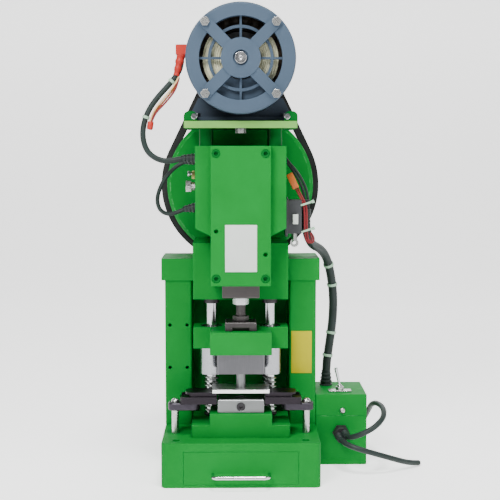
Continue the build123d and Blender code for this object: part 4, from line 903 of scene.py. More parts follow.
@dataclass
class FreeCord:
    """A round lead along one smooth line."""

    name: str
    route: List[Point]
    diameter: float
    length: float
    far_end: FarEnd
    lay: Lay
    nodes: Tuple[str, ...]
    finish: Finish = SLEEVE
    slot: Slot = Slot.BLACK_SLEEVE
    round_steps: int = 5
    run_steps: int = 8

    def build(self, pieces: Sequence[bpy.types.Object] = ()) -> bpy.types.Object:
        """Args:
            pieces: Separate pieces on the lead; not used.

        Returns:
            The lead's curve.
        """
        line = bpy.data.curves.new(self.name, "CURVE")
        line.dimensions = "3D"
        line.bevel_depth = self.diameter / 2
        line.bevel_resolution = self.round_steps
        line.resolution_u = self.run_steps
        line.use_fill_caps = True
        spline = line.splines.new("NURBS")
        spline.points.add(len(self.route) - 1)
        for spot, place in zip(spline.points, self.route):
            spot.co = (*place, 1.0)
        spline.order_u = 3
        spline.use_endpoint_u = True
        line.materials.append(self.finish.material())
        obj = bpy.data.objects.new(self.name, line)
        bpy.context.scene.collection.objects.link(obj)
        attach(obj, Body.FRAME.value)
        if self.nodes:
            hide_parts(*self.nodes)
        LOG.info("cord %s, %.3f m", self.name, self.length)
        return obj


def metres(points: Sequence[Point]) -> List[Point]:
    """Turns points in millimetres into metres."""
    return [(x * MM, y * MM, z * MM) for x, y, z in points]


def box_mesh(name: str, low: Point, high: Point, bevel: float, segments: int = 2) -> bpy.types.Mesh:
    """Makes a block with rounded edges.

    Args:
        name: Name of the mesh.
        low: Lowest corner.
        high: Highest corner.
        bevel: Radius of the edges.
        segments: Steps across an edge.

    Returns:
        The mesh.
    """
    work = bmesh.new()
    made = bmesh.ops.create_cube(work, size=1.0)
    middle = (Vector(low) + Vector(high)) / 2
    span = Vector(high) - Vector(low)
    bmesh.ops.scale(work, vec=span, verts=made["verts"])
    bmesh.ops.translate(work, vec=middle, verts=made["verts"])
    edge = work.faces.layers.float.new("edge")
    rounded = bmesh.ops.bevel(
        work, geom=list(work.edges), offset=bevel, offset_type="OFFSET", segments=segments, profile=0.5,
        affect="EDGES", clamp_overlap=True,
    )
    for face in rounded["faces"]:
        face[edge] = 1.0
    return finished_mesh(name, work, BLOCK_CREASE)


def turned_mesh(name: str, outline: Outline, place: Matrix, steps: int = 48) -> bpy.types.Mesh:
    """Turns an outline round the Z axis of its own frame.

    Args:
        name: Name of the mesh.
        outline: Radius and height of each corner, from the axis at the foot to the axis at the top.
        place: Matrix from the turning's own frame.
        steps: Faces round the axis.

    Returns:
        The closed mesh in its place.
    """
    work = bmesh.new()
    rings = []
    for radius, height in outline:
        if radius < ON_AXIS:
            rings.append([work.verts.new((0.0, 0.0, height))])
            continue
        turns = [math.tau * i / steps for i in range(steps)]
        rings.append([work.verts.new((radius * math.cos(t), radius * math.sin(t), height)) for t in turns])
    for lower, upper in zip(rings, rings[1:]):
        for i in range(steps):
            j = (i + 1) % steps
            below = [lower[i % len(lower)], lower[j % len(lower)]]
            above = [upper[j % len(upper)], upper[i % len(upper)]]
            unique = list(dict.fromkeys(below + above))
            if len(unique) > 2:
                work.faces.new(unique)
    bmesh.ops.recalc_face_normals(work, faces=work.faces)
    mesh = finished_mesh(name, work, TURNING_CREASE)
    mesh.transform(place)
    return mesh


FACING_FRONT = Matrix.Rotation(math.radians(90), 4, "X")


def facing_front(x: float, y: float, z: float) -> Matrix:
    """Gives the place of a turning whose axis points to the front."""
    return Matrix.Translation((x, y, z)) @ FACING_FRONT


def along(start: Point, end: Point) -> Matrix:
    """Gives the place of a turning that runs from one point towards another."""
    turn = (Vector(end) - Vector(start)).to_track_quat("Z", "Y")
    return Matrix.Translation(start) @ turn.to_matrix().to_4x4()


@dataclass
class StrainRelief:
    """A ribbed, tapered sleeve where a lead leaves a housing."""

    name: str
    start: Point
    end: Point
    root: float
    tip: float
    ribs: int = 4
    finish: Finish = SLEEVE
    slot: Slot = Slot.BLACK_SLEEVE
    rib_cuts: Tuple[Tuple[float, float], ...] = ((0.3, 0.0), (0.45, 0.12), (0.8, 0.12), (0.95, 0.0))

    def build(self) -> bpy.types.Object:
        """Turns the sleeve along its lead and returns it."""
        length = (Vector(self.end) - Vector(self.start)).length
        outline = [(0.0, 0.0), (self.root, 0.0)]
        for rib in range(self.ribs):
            for share, deep in self.rib_cuts:
                where = (rib + share) / self.ribs
                radius = self.root + (self.tip - self.root) * where
                outline.append((radius * (1 - deep), length * where))
        outline += [(self.tip, length), (0.0, length)]
        mesh = turned_mesh(self.name, outline, along(self.start, self.end), 24)
        return placed(self.name, mesh, self.finish, Body.FRAME)


@dataclass
class Leads:
    """The machine's loom and leads, their ties, and the mains plug."""

    loom_width: float = 13 * MM
    lead_width: float = 8 * MM
    sensor_width: float = 6 * MM
    wire_width: float = 2.6 * MM
    trip_lead_width: float = 4 * MM
    coil_middle: Tuple[float, float] = (0.1009, 0.2)
    coil_outer: float = 0.0492
    coil_pitch: float = 0.0087
    coil_layers: Tuple[float, float, float] = (0.0045, 0.0129, 0.0213)
    coil_step: int = 30
    coil_marks: Tuple[float, float, float, float] = (720.0, 780.0, 1500.0, 1560.0)
    coil_climb: float = 60.0
    coil_end: int = 1770
    coil_tuck: float = 1.0 * MM
    loom_length: float = 0.327
    motor_lead_length: float = 0.227
    sensor_lead_length: float = 0.160
    mains_lead_length: float = 1.70
    pedal_lead_length: float = 0.167
    wire_length: float = 0.077
    wire_sag_share: float = 0.7
    trip_wire_length: float = 0.108
    splice_cap: Outline = (
        (0.0, 0.0), (0.0038, 0.0), (0.0044, 0.001), (0.0044, 0.0095), (0.0034, 0.0116), (0.0, 0.012),
    )
    connector_place: Point = (0.0740, -0.0395, 0.4195)
    connector_half: Point = (0.0048, 0.004, 0.0115)
    connector_turn: float = math.radians(-25)
    strap_turn: float = math.radians(-18)

    def turn_point(self, angle: float) -> Point:
        """Gives a point of the coil, which is wound clockwise from its front.

        Args:
            angle: Degrees wound so far.

        Returns:
            The point in metres.
        """
        low, middle, high = self.coil_layers
        inner = self.coil_outer - 2 * self.coil_pitch
        wound_in, second_layer, wound_out, third_layer = self.coil_marks
        if angle <= wound_in:
            radius = self.coil_outer - self.coil_pitch * angle / FULL_TURN
            height = low
        elif angle <= second_layer:
            radius = inner
            height = low + (middle - low) * (angle - wound_in) / self.coil_climb
        elif angle <= wound_out:
            radius = inner + self.coil_pitch * (angle - second_layer) / FULL_TURN
            height = middle
        elif angle <= third_layer:
            radius = self.coil_outer + self.coil_pitch * (angle - wound_out) / FULL_TURN
            height = middle + (high - middle) * (angle - wound_out) / self.coil_climb
        else:
            radius = self.coil_outer - self.coil_tuck * (angle - third_layer) / self.coil_climb
            height = high
        turn = math.radians(-90 - angle)
        across, back = self.coil_middle
        return (across + radius * math.cos(turn), back + radius * math.sin(turn), height)

    def mains_route(self) -> List[Point]:
        """Gives the mains lead's line from the gland to its plug.

        Returns:
            The points in metres.
        """
        out = metres([
            (152.5, -28, 50), (152.5, -53, 50), (167, -69, 57), (189, -70, 68), (205, -55, 79),
            (209, -32, 86), (207, -8, 88), (203, 16, 86), (200, 42, 79), (199, 66, 67), (197, 90, 51),
            (192, 112, 34), (182, 131, 19), (168, 145, 9), (149, 150.5, 4.7), (125, 150.8, 4.4),
        ])
        turns = [self.turn_point(angle) for angle in range(0, self.coil_end + 1, self.coil_step)]
        away = metres([
            (103, 147, 21.3), (91, 142.5, 19), (79, 143.5, 14.4), (70, 148.5, 11), (64, 151.5, 10),
            (58, 152, 10),
        ])
        return out + turns + away

    def build(self) -> None:
        """Builds all the leads, with their ties and plug."""
        DressedNode("cable_ties", TIE, Slot.TIE_PLASTIC, EDGE_HAIR).build()
        self.reliefs()
        self.motor_wires()
        self.trip_wires()
        plug = DressedNode("mains_plug", PLUG, Slot.PLUG_PLASTIC, EDGE_HEAVY).build()
        FreeCord(
            "loom_sleeve",
            metres([
                (93, -35, 379), (93, -35, 358), (97, -24, 339), (105, -2, 325), (117, 20, 319),
                (129, 40, 305), (137, 54, 278), (142, 60, 242), (141, 61, 204), (136, 60, 168),
                (131, 58, 134), (131, 58, 105),
            ]),
            self.loom_width, self.loom_length, FarEnd.OBJECT, Lay.HANGING, ("loom",),
        ).build()
        FreeCord(
            "motor_lead_sleeve",
            metres([
                (-83.3, -35, 597.5), (-83.3, -35, 582), (-91, -36, 567), (-103, -37, 553), (-117, -38, 538),
                (-130, -40, 520), (-137.5, -41, 499), (-138.5, -42, 479), (-132.5, -42, 461),
                (-118.5, -42, 450), (-101, -41, 447), (-81, -40, 452), (-63, -40, 452),
            ]),
            self.lead_width, self.motor_lead_length, FarEnd.OBJECT, Lay.HANGING, ("motor_lead",),
        ).build()
        FreeCord(
            "sensor_lead_sleeve",
            metres([
                (-63, -16, 448), (-78, -16, 448), (-93, -16, 440), (-106, -17, 427), (-116, -17, 410),
                (-121, -18, 392), (-116.5, -18, 376), (-103, -17, 370), (-88, -16, 375), (-75, -16, 381),
                (-63, -16, 381),
            ]),
            self.sensor_width, self.sensor_lead_length, FarEnd.OBJECT, Lay.HANGING, ("sensor_lead",),
        ).build()
        FreeCord(
            "mains_lead_sleeve", self.mains_route(), self.lead_width, self.mains_lead_length, FarEnd.PLUG,
            Lay.COILED, ("mains_lead", "mains_coil"),
        ).build([plug])
        FreeCord(
            "pedal_lead_sleeve",
            metres([
                (143.5, -28, 46), (143.5, -47, 46), (154, -64, 42), (173, -71, 37), (195, -68, 30),
                (215, -58, 22), (233, -46, 14), (248, -34, 8), (262, -22, 4.6),
            ]),
            self.lead_width, self.pedal_lead_length, FarEnd.BARE, Lay.LOOSE, ("pedal_lead",),
        ).build()

    def reliefs(self) -> None:
        """Sets a tapered sleeve where each lead leaves a housing."""
        for name, start, end, root, tip in (
            ("motor_lead_relief", (-63, -40, 452), (-84, -40, 451.6), 7.5, 4.7),
            ("sensor_upper_relief", (-63, -16, 448), (-83, -16, 446.8), 6.5, 3.7),
            ("sensor_lower_relief", (-63, -16, 381), (-83, -16, 378.2), 8.0, 4.4),
            ("mains_relief", (152.5, -28, 50), (153.7, -48, 50.7), 6.0, 4.7),
            ("pedal_relief", (143.5, -28, 46), (144.5, -48, 45.6), 6.0, 4.7),
            ("loom_foot_relief", (131, 58, 105), (131, 58, 127), 10.0, 7.2),
            ("loom_head_relief", (93, -35, 379), (93.2, -34.6, 357), 8.2, 7.0),
        ):
            first, last = metres([start, end])
            StrainRelief(name, first, last, root * MM, tip * MM).build()
        first, last = metres([(-83.3, -35, 599), (-90.5, -36, 568)])
        StrainRelief("motor_boot", first, last, 7.2 * MM, 4.9 * MM, 3, RED, Slot.RED_PLASTIC).build()

    def motor_wires(self) -> None:
        """Lays the coloured wires that are tied beside the motor's lead."""
        path = [
            (-87, -38, 566), (-92, -39, 557), (-99, -40, 548), (-112, -41, 533), (-121, -42, 521),
            (-126, -43, 511), (-128, -43.5, 503),
        ]
        bow_shares = [0.1, 0.6, 1.1, 1.2, 0.8, 0.6, 0.5]
        for name, finish, side, front in (
            ("motor_wire_cream", WIRE_CREAM, 0.4, -1.2),
            ("motor_wire_amber", WIRE_AMBER, 2.4, 1.3),
            ("motor_wire_red", WIRE_RED, 4.6, -0.6),
        ):
            route = metres([
                (x + side * bow, y + front, z - side * bow * self.wire_sag_share)
                for (x, y, z), bow in zip(path, bow_shares)
            ])
            FreeCord(
                name, route, self.wire_width, self.wire_length, FarEnd.OBJECT, Lay.HANGING, (), finish,
                Slot.RED_PLASTIC,
            ).build()
        start, end = metres([(-126.6, -43.5, 503.5), (-128.4, -43.5, 492)])
        mesh = turned_mesh("splice_cap", self.splice_cap, along(start, end), 24)
        placed("splice_cap", mesh, RED, Body.FRAME)

    def trip_wires(self) -> None:
        """Lays the solenoid's wires, their connector and the straps that hold them."""
        for name, shift in (("trip_wire_left", 0.0), ("trip_wire_right", 3.3)):
            FreeCord(
                name,
                metres([
                    (77.5 + shift, -40, 411), (81 + shift, -42, 403), (86 + shift, -46, 394),
                    (90 + shift, -48.5, 384), (91 + shift, -49, 370), (91 + shift, -49, 356),
                    (91.3 + shift, -48.6, 345), (93 + shift, -47.5, 336), (97.5 + shift, -45, 331),
                    (101.5 + shift, -41, 333.5), (102 + shift, -36, 340), (98.5 + shift / 2, -30.5, 346),
                ]),
                self.wire_width, self.trip_wire_length, FarEnd.OBJECT, Lay.HANGING, (), WIRE_RED,
                Slot.RED_PLASTIC,
            ).build()
        for name, shift, length in (("trip_lead_inner", 0.0, 0.067), ("trip_lead_outer", 5.0, 0.074)):
            FreeCord(
                name,
                metres([
                    (91.5 + shift, -34, 392), (90.5 + shift, -34, 403), (85 + shift, -33, 418),
                    (75 + shift, -32, 434), (67 + shift / 2, -31, 445), (62, -30, 451 + shift),
                ]),
                self.trip_lead_width, length, FarEnd.OBJECT, Lay.HANGING, (),
            ).build()
        far = self.connector_half
        near = tuple(-half for half in far)
        body = box_mesh("trip_connector", near, far, EDGE_BROAD)
        lean = Matrix.Rotation(self.connector_turn, 4, "Y")
        body.transform(Matrix.Translation(self.connector_place) @ lean)
        placed("trip_connector", body, ORANGE, Body.FRAME)
        strap = box_mesh("wire_strap", (-0.0088, -0.0007, -0.0013), (0.0075, 0.0007, 0.0013), EDGE_FINE)
        head = box_mesh("strap_head", (0.0070, -0.0022, -0.0022), (0.0112, 0.0022, 0.0022), EDGE_MIDDLE)
        for name, pattern in (("wire_straps", strap), ("strap_heads", head)):
            pattern.transform(Matrix.Rotation(self.strap_turn, 4, "Y"))
            mesh = RowOf(name, TIE, metres([(93.5, -51.4, 388), (94.5, -51.4, 350)])).mesh(pattern)
            placed(name, mesh, TIE, Body.FRAME)


@dataclass
class Base:
    """The cast base and the scrap drawer in it."""

    casting_edge: float = 0.0011
    drawer_edge: float = 0.0005

    def build(self) -> None:
        """Dresses the base, the drawer and its handle."""
        DressedNode("base", GREEN, Slot.GREEN_PAINT, self.casting_edge).build()
        DressedNode("drawer", GREEN, Slot.GREEN_PAINT, self.drawer_edge, Body.DRAWER).build()
        DressedNode("drawer_handle", BRIGHT, Slot.BRIGHT_STEEL, 0.0, Body.DRAWER).build()


@dataclass
class Column:
    """The column, the head on it and the cover over the plunger."""

    casting_edge: float = 0.0012
    cover_edge: float = 0.0007
    cover_foot: float = 0.25
    cover_plate: Plate = (-0.0217, 0.2960, 0.0222, 0.3609)
    cheek_plate: Plate = (0.0740, 0.1380, 0.1040, 0.2002)
    plate_thickness: float = 0.0006

    def build(self) -> None:
        """Dresses the castings, the cover, the screws and the bearings, and sets the bare plates."""
        DressedNode("column", GREEN, Slot.GREEN_PAINT, self.casting_edge).build()
        DressedNode("head", GREEN, Slot.GREEN_PAINT, self.casting_edge).build()
        DressedNode("front_cover", GREEN, Slot.GREEN_PAINT, self.cover_edge).build()
        DressedNode(
            "socket_screws", OXIDE, Slot.BLACK_OXIDE, EDGE_FINE, other=GREEN_SHADED,
            chosen=lambda spot, _: spot.z > self.cover_foot,
        ).build()
        DressedNode("crank_bearings", BRONZE, Slot.BRONZE, EDGE_SLIGHT).build()
        self.bare_plates()

    def bare_plates(self) -> None:
        """Sets the bare plates on the cover and on the column's right cheek."""
        cover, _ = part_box("front_cover")
        face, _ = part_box("column")
        for name, finish, front, (left, foot, right, top) in (
            ("cover_plate", PLATE_WHITE, cover.y, self.cover_plate),
            ("cheek_plate", PLATE_YELLOW, face.y, self.cheek_plate),
        ):
            low = (left, front - self.plate_thickness, foot)
            high = (right, front + self.plate_thickness, top)
            mesh = box_mesh(name, low, high, EDGE_HAIR)
            placed(name, mesh, finish, Body.FRAME)


@dataclass
class Tool:
    """The pillar-guided tool on its bolster, with its feed guides."""

    block_edge: float = 0.0005
    wire: float = 3.0 * MM
    spring_turns: float = 9.0
    spring_steps: int = 36
    ram_travel: float = 20 * MM
    nut_dome: Outline = (
        (0.0, 0.0052), (0.0028, 0.0047), (0.0048, 0.0033), (0.0058, 0.0012), (0.0060, 0.0), (0.0, -0.0004),
    )

    def build(self) -> None:
        """Dresses the tool, winds its springs and sets the guides' nuts."""
        DressedNode("bolster", GREEN, Slot.GREEN_PAINT, EDGE_WIDE).build()
        DressedNode("die_block", GROUND, Slot.GROUND_STEEL, self.block_edge).build()
        DressedNode("stripper_plate", WHITE_STEEL, Slot.BRIGHT_STEEL, self.block_edge).build()
        DressedNode("feed_rails", FEED_BLACK, Slot.BLACK_OXIDE, self.block_edge).build()
        DressedNode("guide_posts", ZINC, Slot.ZINC_STEEL, EDGE_SLIGHT).build()
        DressedNode("guide_arms", ARM_STEEL, Slot.BLACK_OXIDE, EDGE_HEAVY).build()
        DressedNode("pillars", BRIGHT, Slot.BRIGHT_STEEL, EDGE_MIDDLE).build()
        DressedNode("pillar_collars", OXIDE, Slot.BLACK_OXIDE, EDGE_SLIGHT).build()
        DressedNode("upper_shoe", GREEN, Slot.GREEN_PAINT, EDGE_WIDE, Body.RAM).build()
        DressedNode("guide_bushes", BUSH, Slot.GROUND_STEEL, EDGE_SMALL, Body.RAM).build()
        DressedNode("punch_plate", BRUSHED, Slot.GROUND_STEEL, self.block_edge, Body.RAM).build()
        DressedNode("punches", GROUND, Slot.BRIGHT_STEEL, EDGE_HAIR, Body.RAM).build()
        self.guide_nuts()
        self.springs()

    def guide_nuts(self) -> None:
        """Sets a domed nut on top of each feed guide's post."""
        low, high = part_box("guide_posts")
        radius = (high.y - low.y) / 2
        _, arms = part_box("guide_arms")
        pattern = turned_mesh("guide_nut", self.nut_dome, Matrix.Identity(4), 28)
        middle = (high.y + low.y) / 2
        points = [(low.x + radius, middle, arms.z), (high.x - radius, middle, arms.z)]
        mesh = RowOf("guide_nuts", ZINC, points).mesh(pattern)
        placed("guide_nuts", mesh, ZINC, Body.FRAME)

    def springs(self) -> None:
        """Winds the two pillar springs, which sit under the ram."""
        low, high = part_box("pillar_springs")
        for side, x in (("left", low.x), ("right", high.x)):
            reach = (high.y - low.y) / 2
            inward = reach if side == "left" else -reach
            axis = Vector((x + inward, (low.y + high.y) / 2, low.z + self.wire / 2))
            spring = CoiledWire(
                "pillar_spring_" + side, ZINC, reach - self.wire / 2, self.wire, high.z - low.z - self.wire,
                self.spring_turns, self.spring_steps,
            )
            mesh = spring.mesh(Matrix.Translation(axis))
            obj = placed("pillar_spring_" + side, mesh, ZINC, Body.FRAME)
            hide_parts("pillar_springs")
            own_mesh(obj)


@dataclass
class RamDrive:
    """The plunger, its adjusting stud and the crank that drives it."""

    stud_across: float = 0.0
    thread_pitch: float = 2.0 * MM
    nut_split: float = 0.240
    thread_wire: float = 1.1 * MM
    lower_nut: float = 7.2 * MM
    upper_nut: float = 10.2 * MM

    def build(self) -> None:
        """Dresses the ram's pieces and the crank, and cuts the stud's thread."""
        DressedNode("plunger", DARK_STEEL, Slot.GROUND_STEEL, EDGE_FULL, Body.RAM).build()
        DressedNode("ram_stud", DARK_STEEL, Slot.ZINC_STEEL, EDGE_FINE, Body.RAM).build()
        DressedNode(
            "ram_nuts", DARK_STEEL, Slot.ZINC_STEEL, EDGE_SLIGHT, Body.RAM, other=BRIGHT,
            chosen=lambda spot, _: spot.z > self.nut_split,
        ).build()
        DressedNode("coupling_block", DARK_STEEL, Slot.GROUND_STEEL, EDGE_MIDDLE, Body.RAM).build()
        DressedNode("crankshaft", TURNED, Slot.GROUND_STEEL, EDGE_SMALL, Body.CRANK).build()
        DressedNode("crank_roller", BRIGHT, Slot.GROUND_STEEL, EDGE_SLIGHT, Body.CRANK).build()
        DressedNode("shaft_nut", ZINC, Slot.ZINC_STEEL, EDGE_SLIGHT, Body.CRANK).build()
        self.thread()

    def thread(self) -> None:
        """Winds the visible thread of the adjusting stud between its nuts."""
        low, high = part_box("ram_stud")
        nuts_low, nuts_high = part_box("ram_nuts")
        radius = (high.x - low.x) / 2
        foot = nuts_low.z + self.lower_nut
        rise = nuts_high.z - self.upper_nut - foot
        wound = CoiledWire(
            "stud_thread", DARK_STEEL, radius - self.thread_wire / 4, self.thread_wire, rise,
            rise / self.thread_pitch, 30, 6,
        )
        mesh = wound.mesh(Matrix.Translation((self.stud_across, (low.y + high.y) / 2, foot)))
        placed("stud_thread", mesh, DARK_STEEL, Body.RAM)


@dataclass
class BeltDrive:
    """The flywheel, the motor's pulley and the V-belt between them."""

    rim_edge: float = 0.0012

    def build(self) -> None:
        """Dresses the wheels and the belt."""
        DressedNode("flywheel", GREEN, Slot.GREEN_PAINT, self.rim_edge, Body.FLYWHEEL).build()
        DressedNode("flywheel_bush", BRONZE, Slot.BRONZE, EDGE_SLIGHT, Body.FLYWHEEL).build()
        DressedNode("motor_pulley", CAST_STEEL, Slot.BLACK_OXIDE, EDGE_WIDE, Body.ROTOR).build()
        DressedNode("v_belt", RUBBER, Slot.BELT_RUBBER, EDGE_SMALL).build()


@dataclass
class Motor:
    """The open-frame motor on its plate and saddle."""

    axis_height: float = 0.5875
    coil_count: int = 24
    end_turn: Tuple[float, float] = (0.0085, 0.013)
    end_turn_radii: Tuple[float, float] = (0.045, 0.060)
    end_turn_span: float = 17.5 * MM
    end_turn_rise: float = 6 * MM
    end_turn_flat_share: float = 0.55
    end_turn_start: float = math.radians(7.5)
    end_turn_sink: float = 3.5 * MM
    end_turn_crease: float = math.radians(60)
    pale_edge_and_highlight_depth: float = 1.5 * MM
    shaft_show: float = 0.015
    bundle_radius: float = 0.0390
    bundle_width: float = 0.0115
    bundle_depth: float = 0.0065
    bundle_half_angle: float = math.radians(47)
    bundle_front: float = 7.5 * MM
    bundle_crown_share: float = 0.8
    bundle_crease: float = math.radians(50)
    strands: int = 9
    strand_overlap: float = 1.35
    strand_sink: float = 12 * MM
    strand_straight_share: float = 0.72
    baffle_radii: Tuple[float, float] = (0.0285, 0.0555)
    baffle_angles: Tuple[float, float] = (-136.0, -44.0)
    baffle_depths: Tuple[float, float] = (0.0015, 0.0035)
    baffle_steps: int = 20
    bolt_head: Outline = (
        (0.0, 0.0030), (0.0035, 0.0030), (0.0041, 0.0025), (0.0042, 0.0), (0.0, -0.0004),
    )
    lug_bolt: Point = (0.0640, -0.0860, 0.5096)

    def build(self) -> None:
        """Dresses the motor and winds the visible end turns."""
        plate_low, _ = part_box("motor_plate")
        # The plate's front strip takes the pale edge colour, partly a painted highlight, and its other faces
        # the darker green of painted shade
        DressedNode(
            "motor_plate", GREEN_SHADED, Slot.PLATE_EDGE, EDGE_BROAD, other=PLATE_EDGE,
            chosen=lambda spot, _: spot.y < plate_low.y + self.pale_edge_and_highlight_depth,
        ).build()
        DressedNode("plate_supports", GREEN_SHADED, Slot.GREEN_PAINT, EDGE_SMALL).build()
        # The saddle takes the darker motor enamel as painted shade
        DressedNode("motor_saddle", MOTOR_SHADED, Slot.MOTOR_PAINT, EDGE_WIDE).build()
        DressedNode("hex_bolts", ZINC, Slot.ZINC_STEEL, EDGE_SLIGHT).build()
        DressedNode("motor_shell", MOTOR, Slot.MOTOR_PAINT, EDGE_WIDE).build()
        DressedNode("front_end_shield", MOTOR, Slot.MOTOR_PAINT, EDGE_WIDE).build()
        DressedNode("rear_end_shield", MOTOR, Slot.MOTOR_PAINT, EDGE_WIDE).build()
        DressedNode("stator_windings", NEAR_BLACK_WINDING, Slot.WINDINGS, EDGE_SLIGHT).build()
        DressedNode(
            "rotor", STACK, Slot.GROUND_STEEL, EDGE_SMALL, Body.ROTOR, other=TURNED,
            chosen=lambda spot, _: spot.y < plate_low.y - self.shaft_show,
        ).build()
        self.end_turns()
        self.bundles()
        self.baffle()
        self.lug_bolts()

    def end_turns(self) -> None:
        """Winds the near-black end turns that show through the front shield."""
        low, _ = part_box("stator_windings")
        inner, outer = self.end_turn_radii
        middle = (outer + inner) / 2
        across, deep = self.end_turn
        bundle = bmesh.new()
        steps, sides = 14, 8
        rings = []
        for i in range(steps + 1):
            rise = self.end_turn_rise * math.sin(math.pi * i / steps)
            centre = Vector((0.0, (i / steps - 0.5) * self.end_turn_span, rise))
            ring = []
            for j in range(sides):
                turn = math.tau * j / sides
                out = Vector((across * math.cos(turn), 0.0, deep * self.end_turn_flat_share * math.sin(turn)))
                ring.append(bundle.verts.new(centre + out))
            rings.append(ring)
        for one, other in zip(rings, rings[1:]):
            for j in range(sides):
                bundle.faces.new((one[j], one[(j + 1) % sides], other[(j + 1) % sides], other[j]))
        bundle.faces.new(rings[0])
        bundle.faces.new(rings[-1])
        bmesh.ops.recalc_face_normals(bundle, faces=bundle.faces)
        pattern = finished_mesh("end_turn", bundle, self.end_turn_crease)
        ring = RingOf("winding_end_turns", NEAR_BLACK_WINDING, middle, self.coil_count, self.end_turn_start)
        mesh = ring.mesh(pattern, facing_front(0.0, low.y + self.end_turn_sink, self.axis_height))
        placed("winding_end_turns", mesh, NEAR_BLACK_WINDING, Body.FRAME)

    def bundles(self) -> None:
        """Winds the two cream coil ends that bulge into the side openings."""
        low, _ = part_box("stator_windings")
        depth = low.y - self.bundle_front
        for side, middle in (("right", 0.0), ("left", math.pi)):
            work = bmesh.new()
            for strand in range(self.strands):
                share = strand / (self.strands - 1) * 2 - 1
                radius = self.bundle_radius + self.bundle_width * share
                bulge = self.bundle_depth * math.sqrt(max(0.0, 1 - share * share * self.bundle_crown_share))
                self.strand(work, radius, middle, depth - bulge)
            mesh = finished_mesh("coil_end_" + side, work, self.bundle_crease)
            placed("coil_end_" + side, mesh, ENAMEL_WIRE, Body.FRAME)

    def strand(self, work: bmesh.types.BMesh, radius: float, middle: float, front: float) -> None:
        """Adds one curved strand of a coil end.

        Args:
            work: Mesh that takes the strand.
            radius: Distance from the motor's axis.
            middle: Angle of the strand's middle.
            front: Place of its front along Y.
        """
        steps, sides = 16, 10
        thick = self.bundle_width / self.strands * self.strand_overlap
        straight = self.strand_straight_share
        rings = []
        for i in range(steps + 1):
            share = i / steps * 2 - 1
            angle = middle + self.bundle_half_angle * share
            sink = self.strand_sink * max(0.0, abs(share) - straight) / (1 - straight)
            out = Vector((math.cos(angle), 0.0, math.sin(angle)))
            centre = out * radius + Vector((0.0, front + thick + sink, self.axis_height))
            turns = [math.tau * j / sides for j in range(sides)]
            rings.append([
                work.verts.new(centre + out * (thick * math.cos(t)) + Vector((0.0, thick * math.sin(t), 0.0)))
                for t in turns
            ])
        for one, other in zip(rings, rings[1:]):
            for j in range(sides):
                work.faces.new((one[j], other[j], other[(j + 1) % sides], one[(j + 1) % sides]))
        work.faces.new(rings[0])
        work.faces.new(list(reversed(rings[-1])))
        bmesh.ops.recalc_face_normals(work, faces=work.faces)

    def baffle(self) -> None:
        """Sets the recessed air guide behind the shield's lower opening."""
        low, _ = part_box("motor_shell")
        inner, outer = self.baffle_radii
        work = bmesh.new()
        steps = self.baffle_steps
        first, last = self.baffle_angles
        spans = [math.radians(first + (last - first) * i / steps) for i in range(steps + 1)]
        corners = []
        rise = self.axis_height
        for depth in self.baffle_depths:
            y = low.y + depth
            for radius in (inner, outer):
                ring = [(radius * math.cos(a), y, rise + radius * math.sin(a)) for a in spans]
                corners.append([work.verts.new(point) for point in ring])
        front_in, front_out, back_in, back_out = corners
        sides = (front_in, front_out, back_out, back_in)
        for one, other in zip(sides, sides[1:] + sides[:1]):
            for i in range(steps):
                work.faces.new((one[i], other[i], other[i + 1], one[i + 1]))
        for i in (0, steps):
            work.faces.new((front_in[i], front_out[i], back_out[i], back_in[i]))
        bmesh.ops.recalc_face_normals(work, faces=work.faces)
        mesh = finished_mesh("air_guide", work, BLOCK_CREASE)
        placed("air_guide", mesh, MOTOR, Body.FRAME)

    def lug_bolts(self) -> None:
        """Sets the bright bolt heads on the front of the plate's two lugs."""
        x, y, z = self.lug_bolt
        pattern = turned_mesh("lug_bolt", self.bolt_head, FACING_FRONT, 24)
        mesh = RowOf("lug_bolts", BRIGHT, [(-x, y, z), (x, y, z)]).mesh(pattern)
        placed("lug_bolts", mesh, BRIGHT, Body.FRAME)


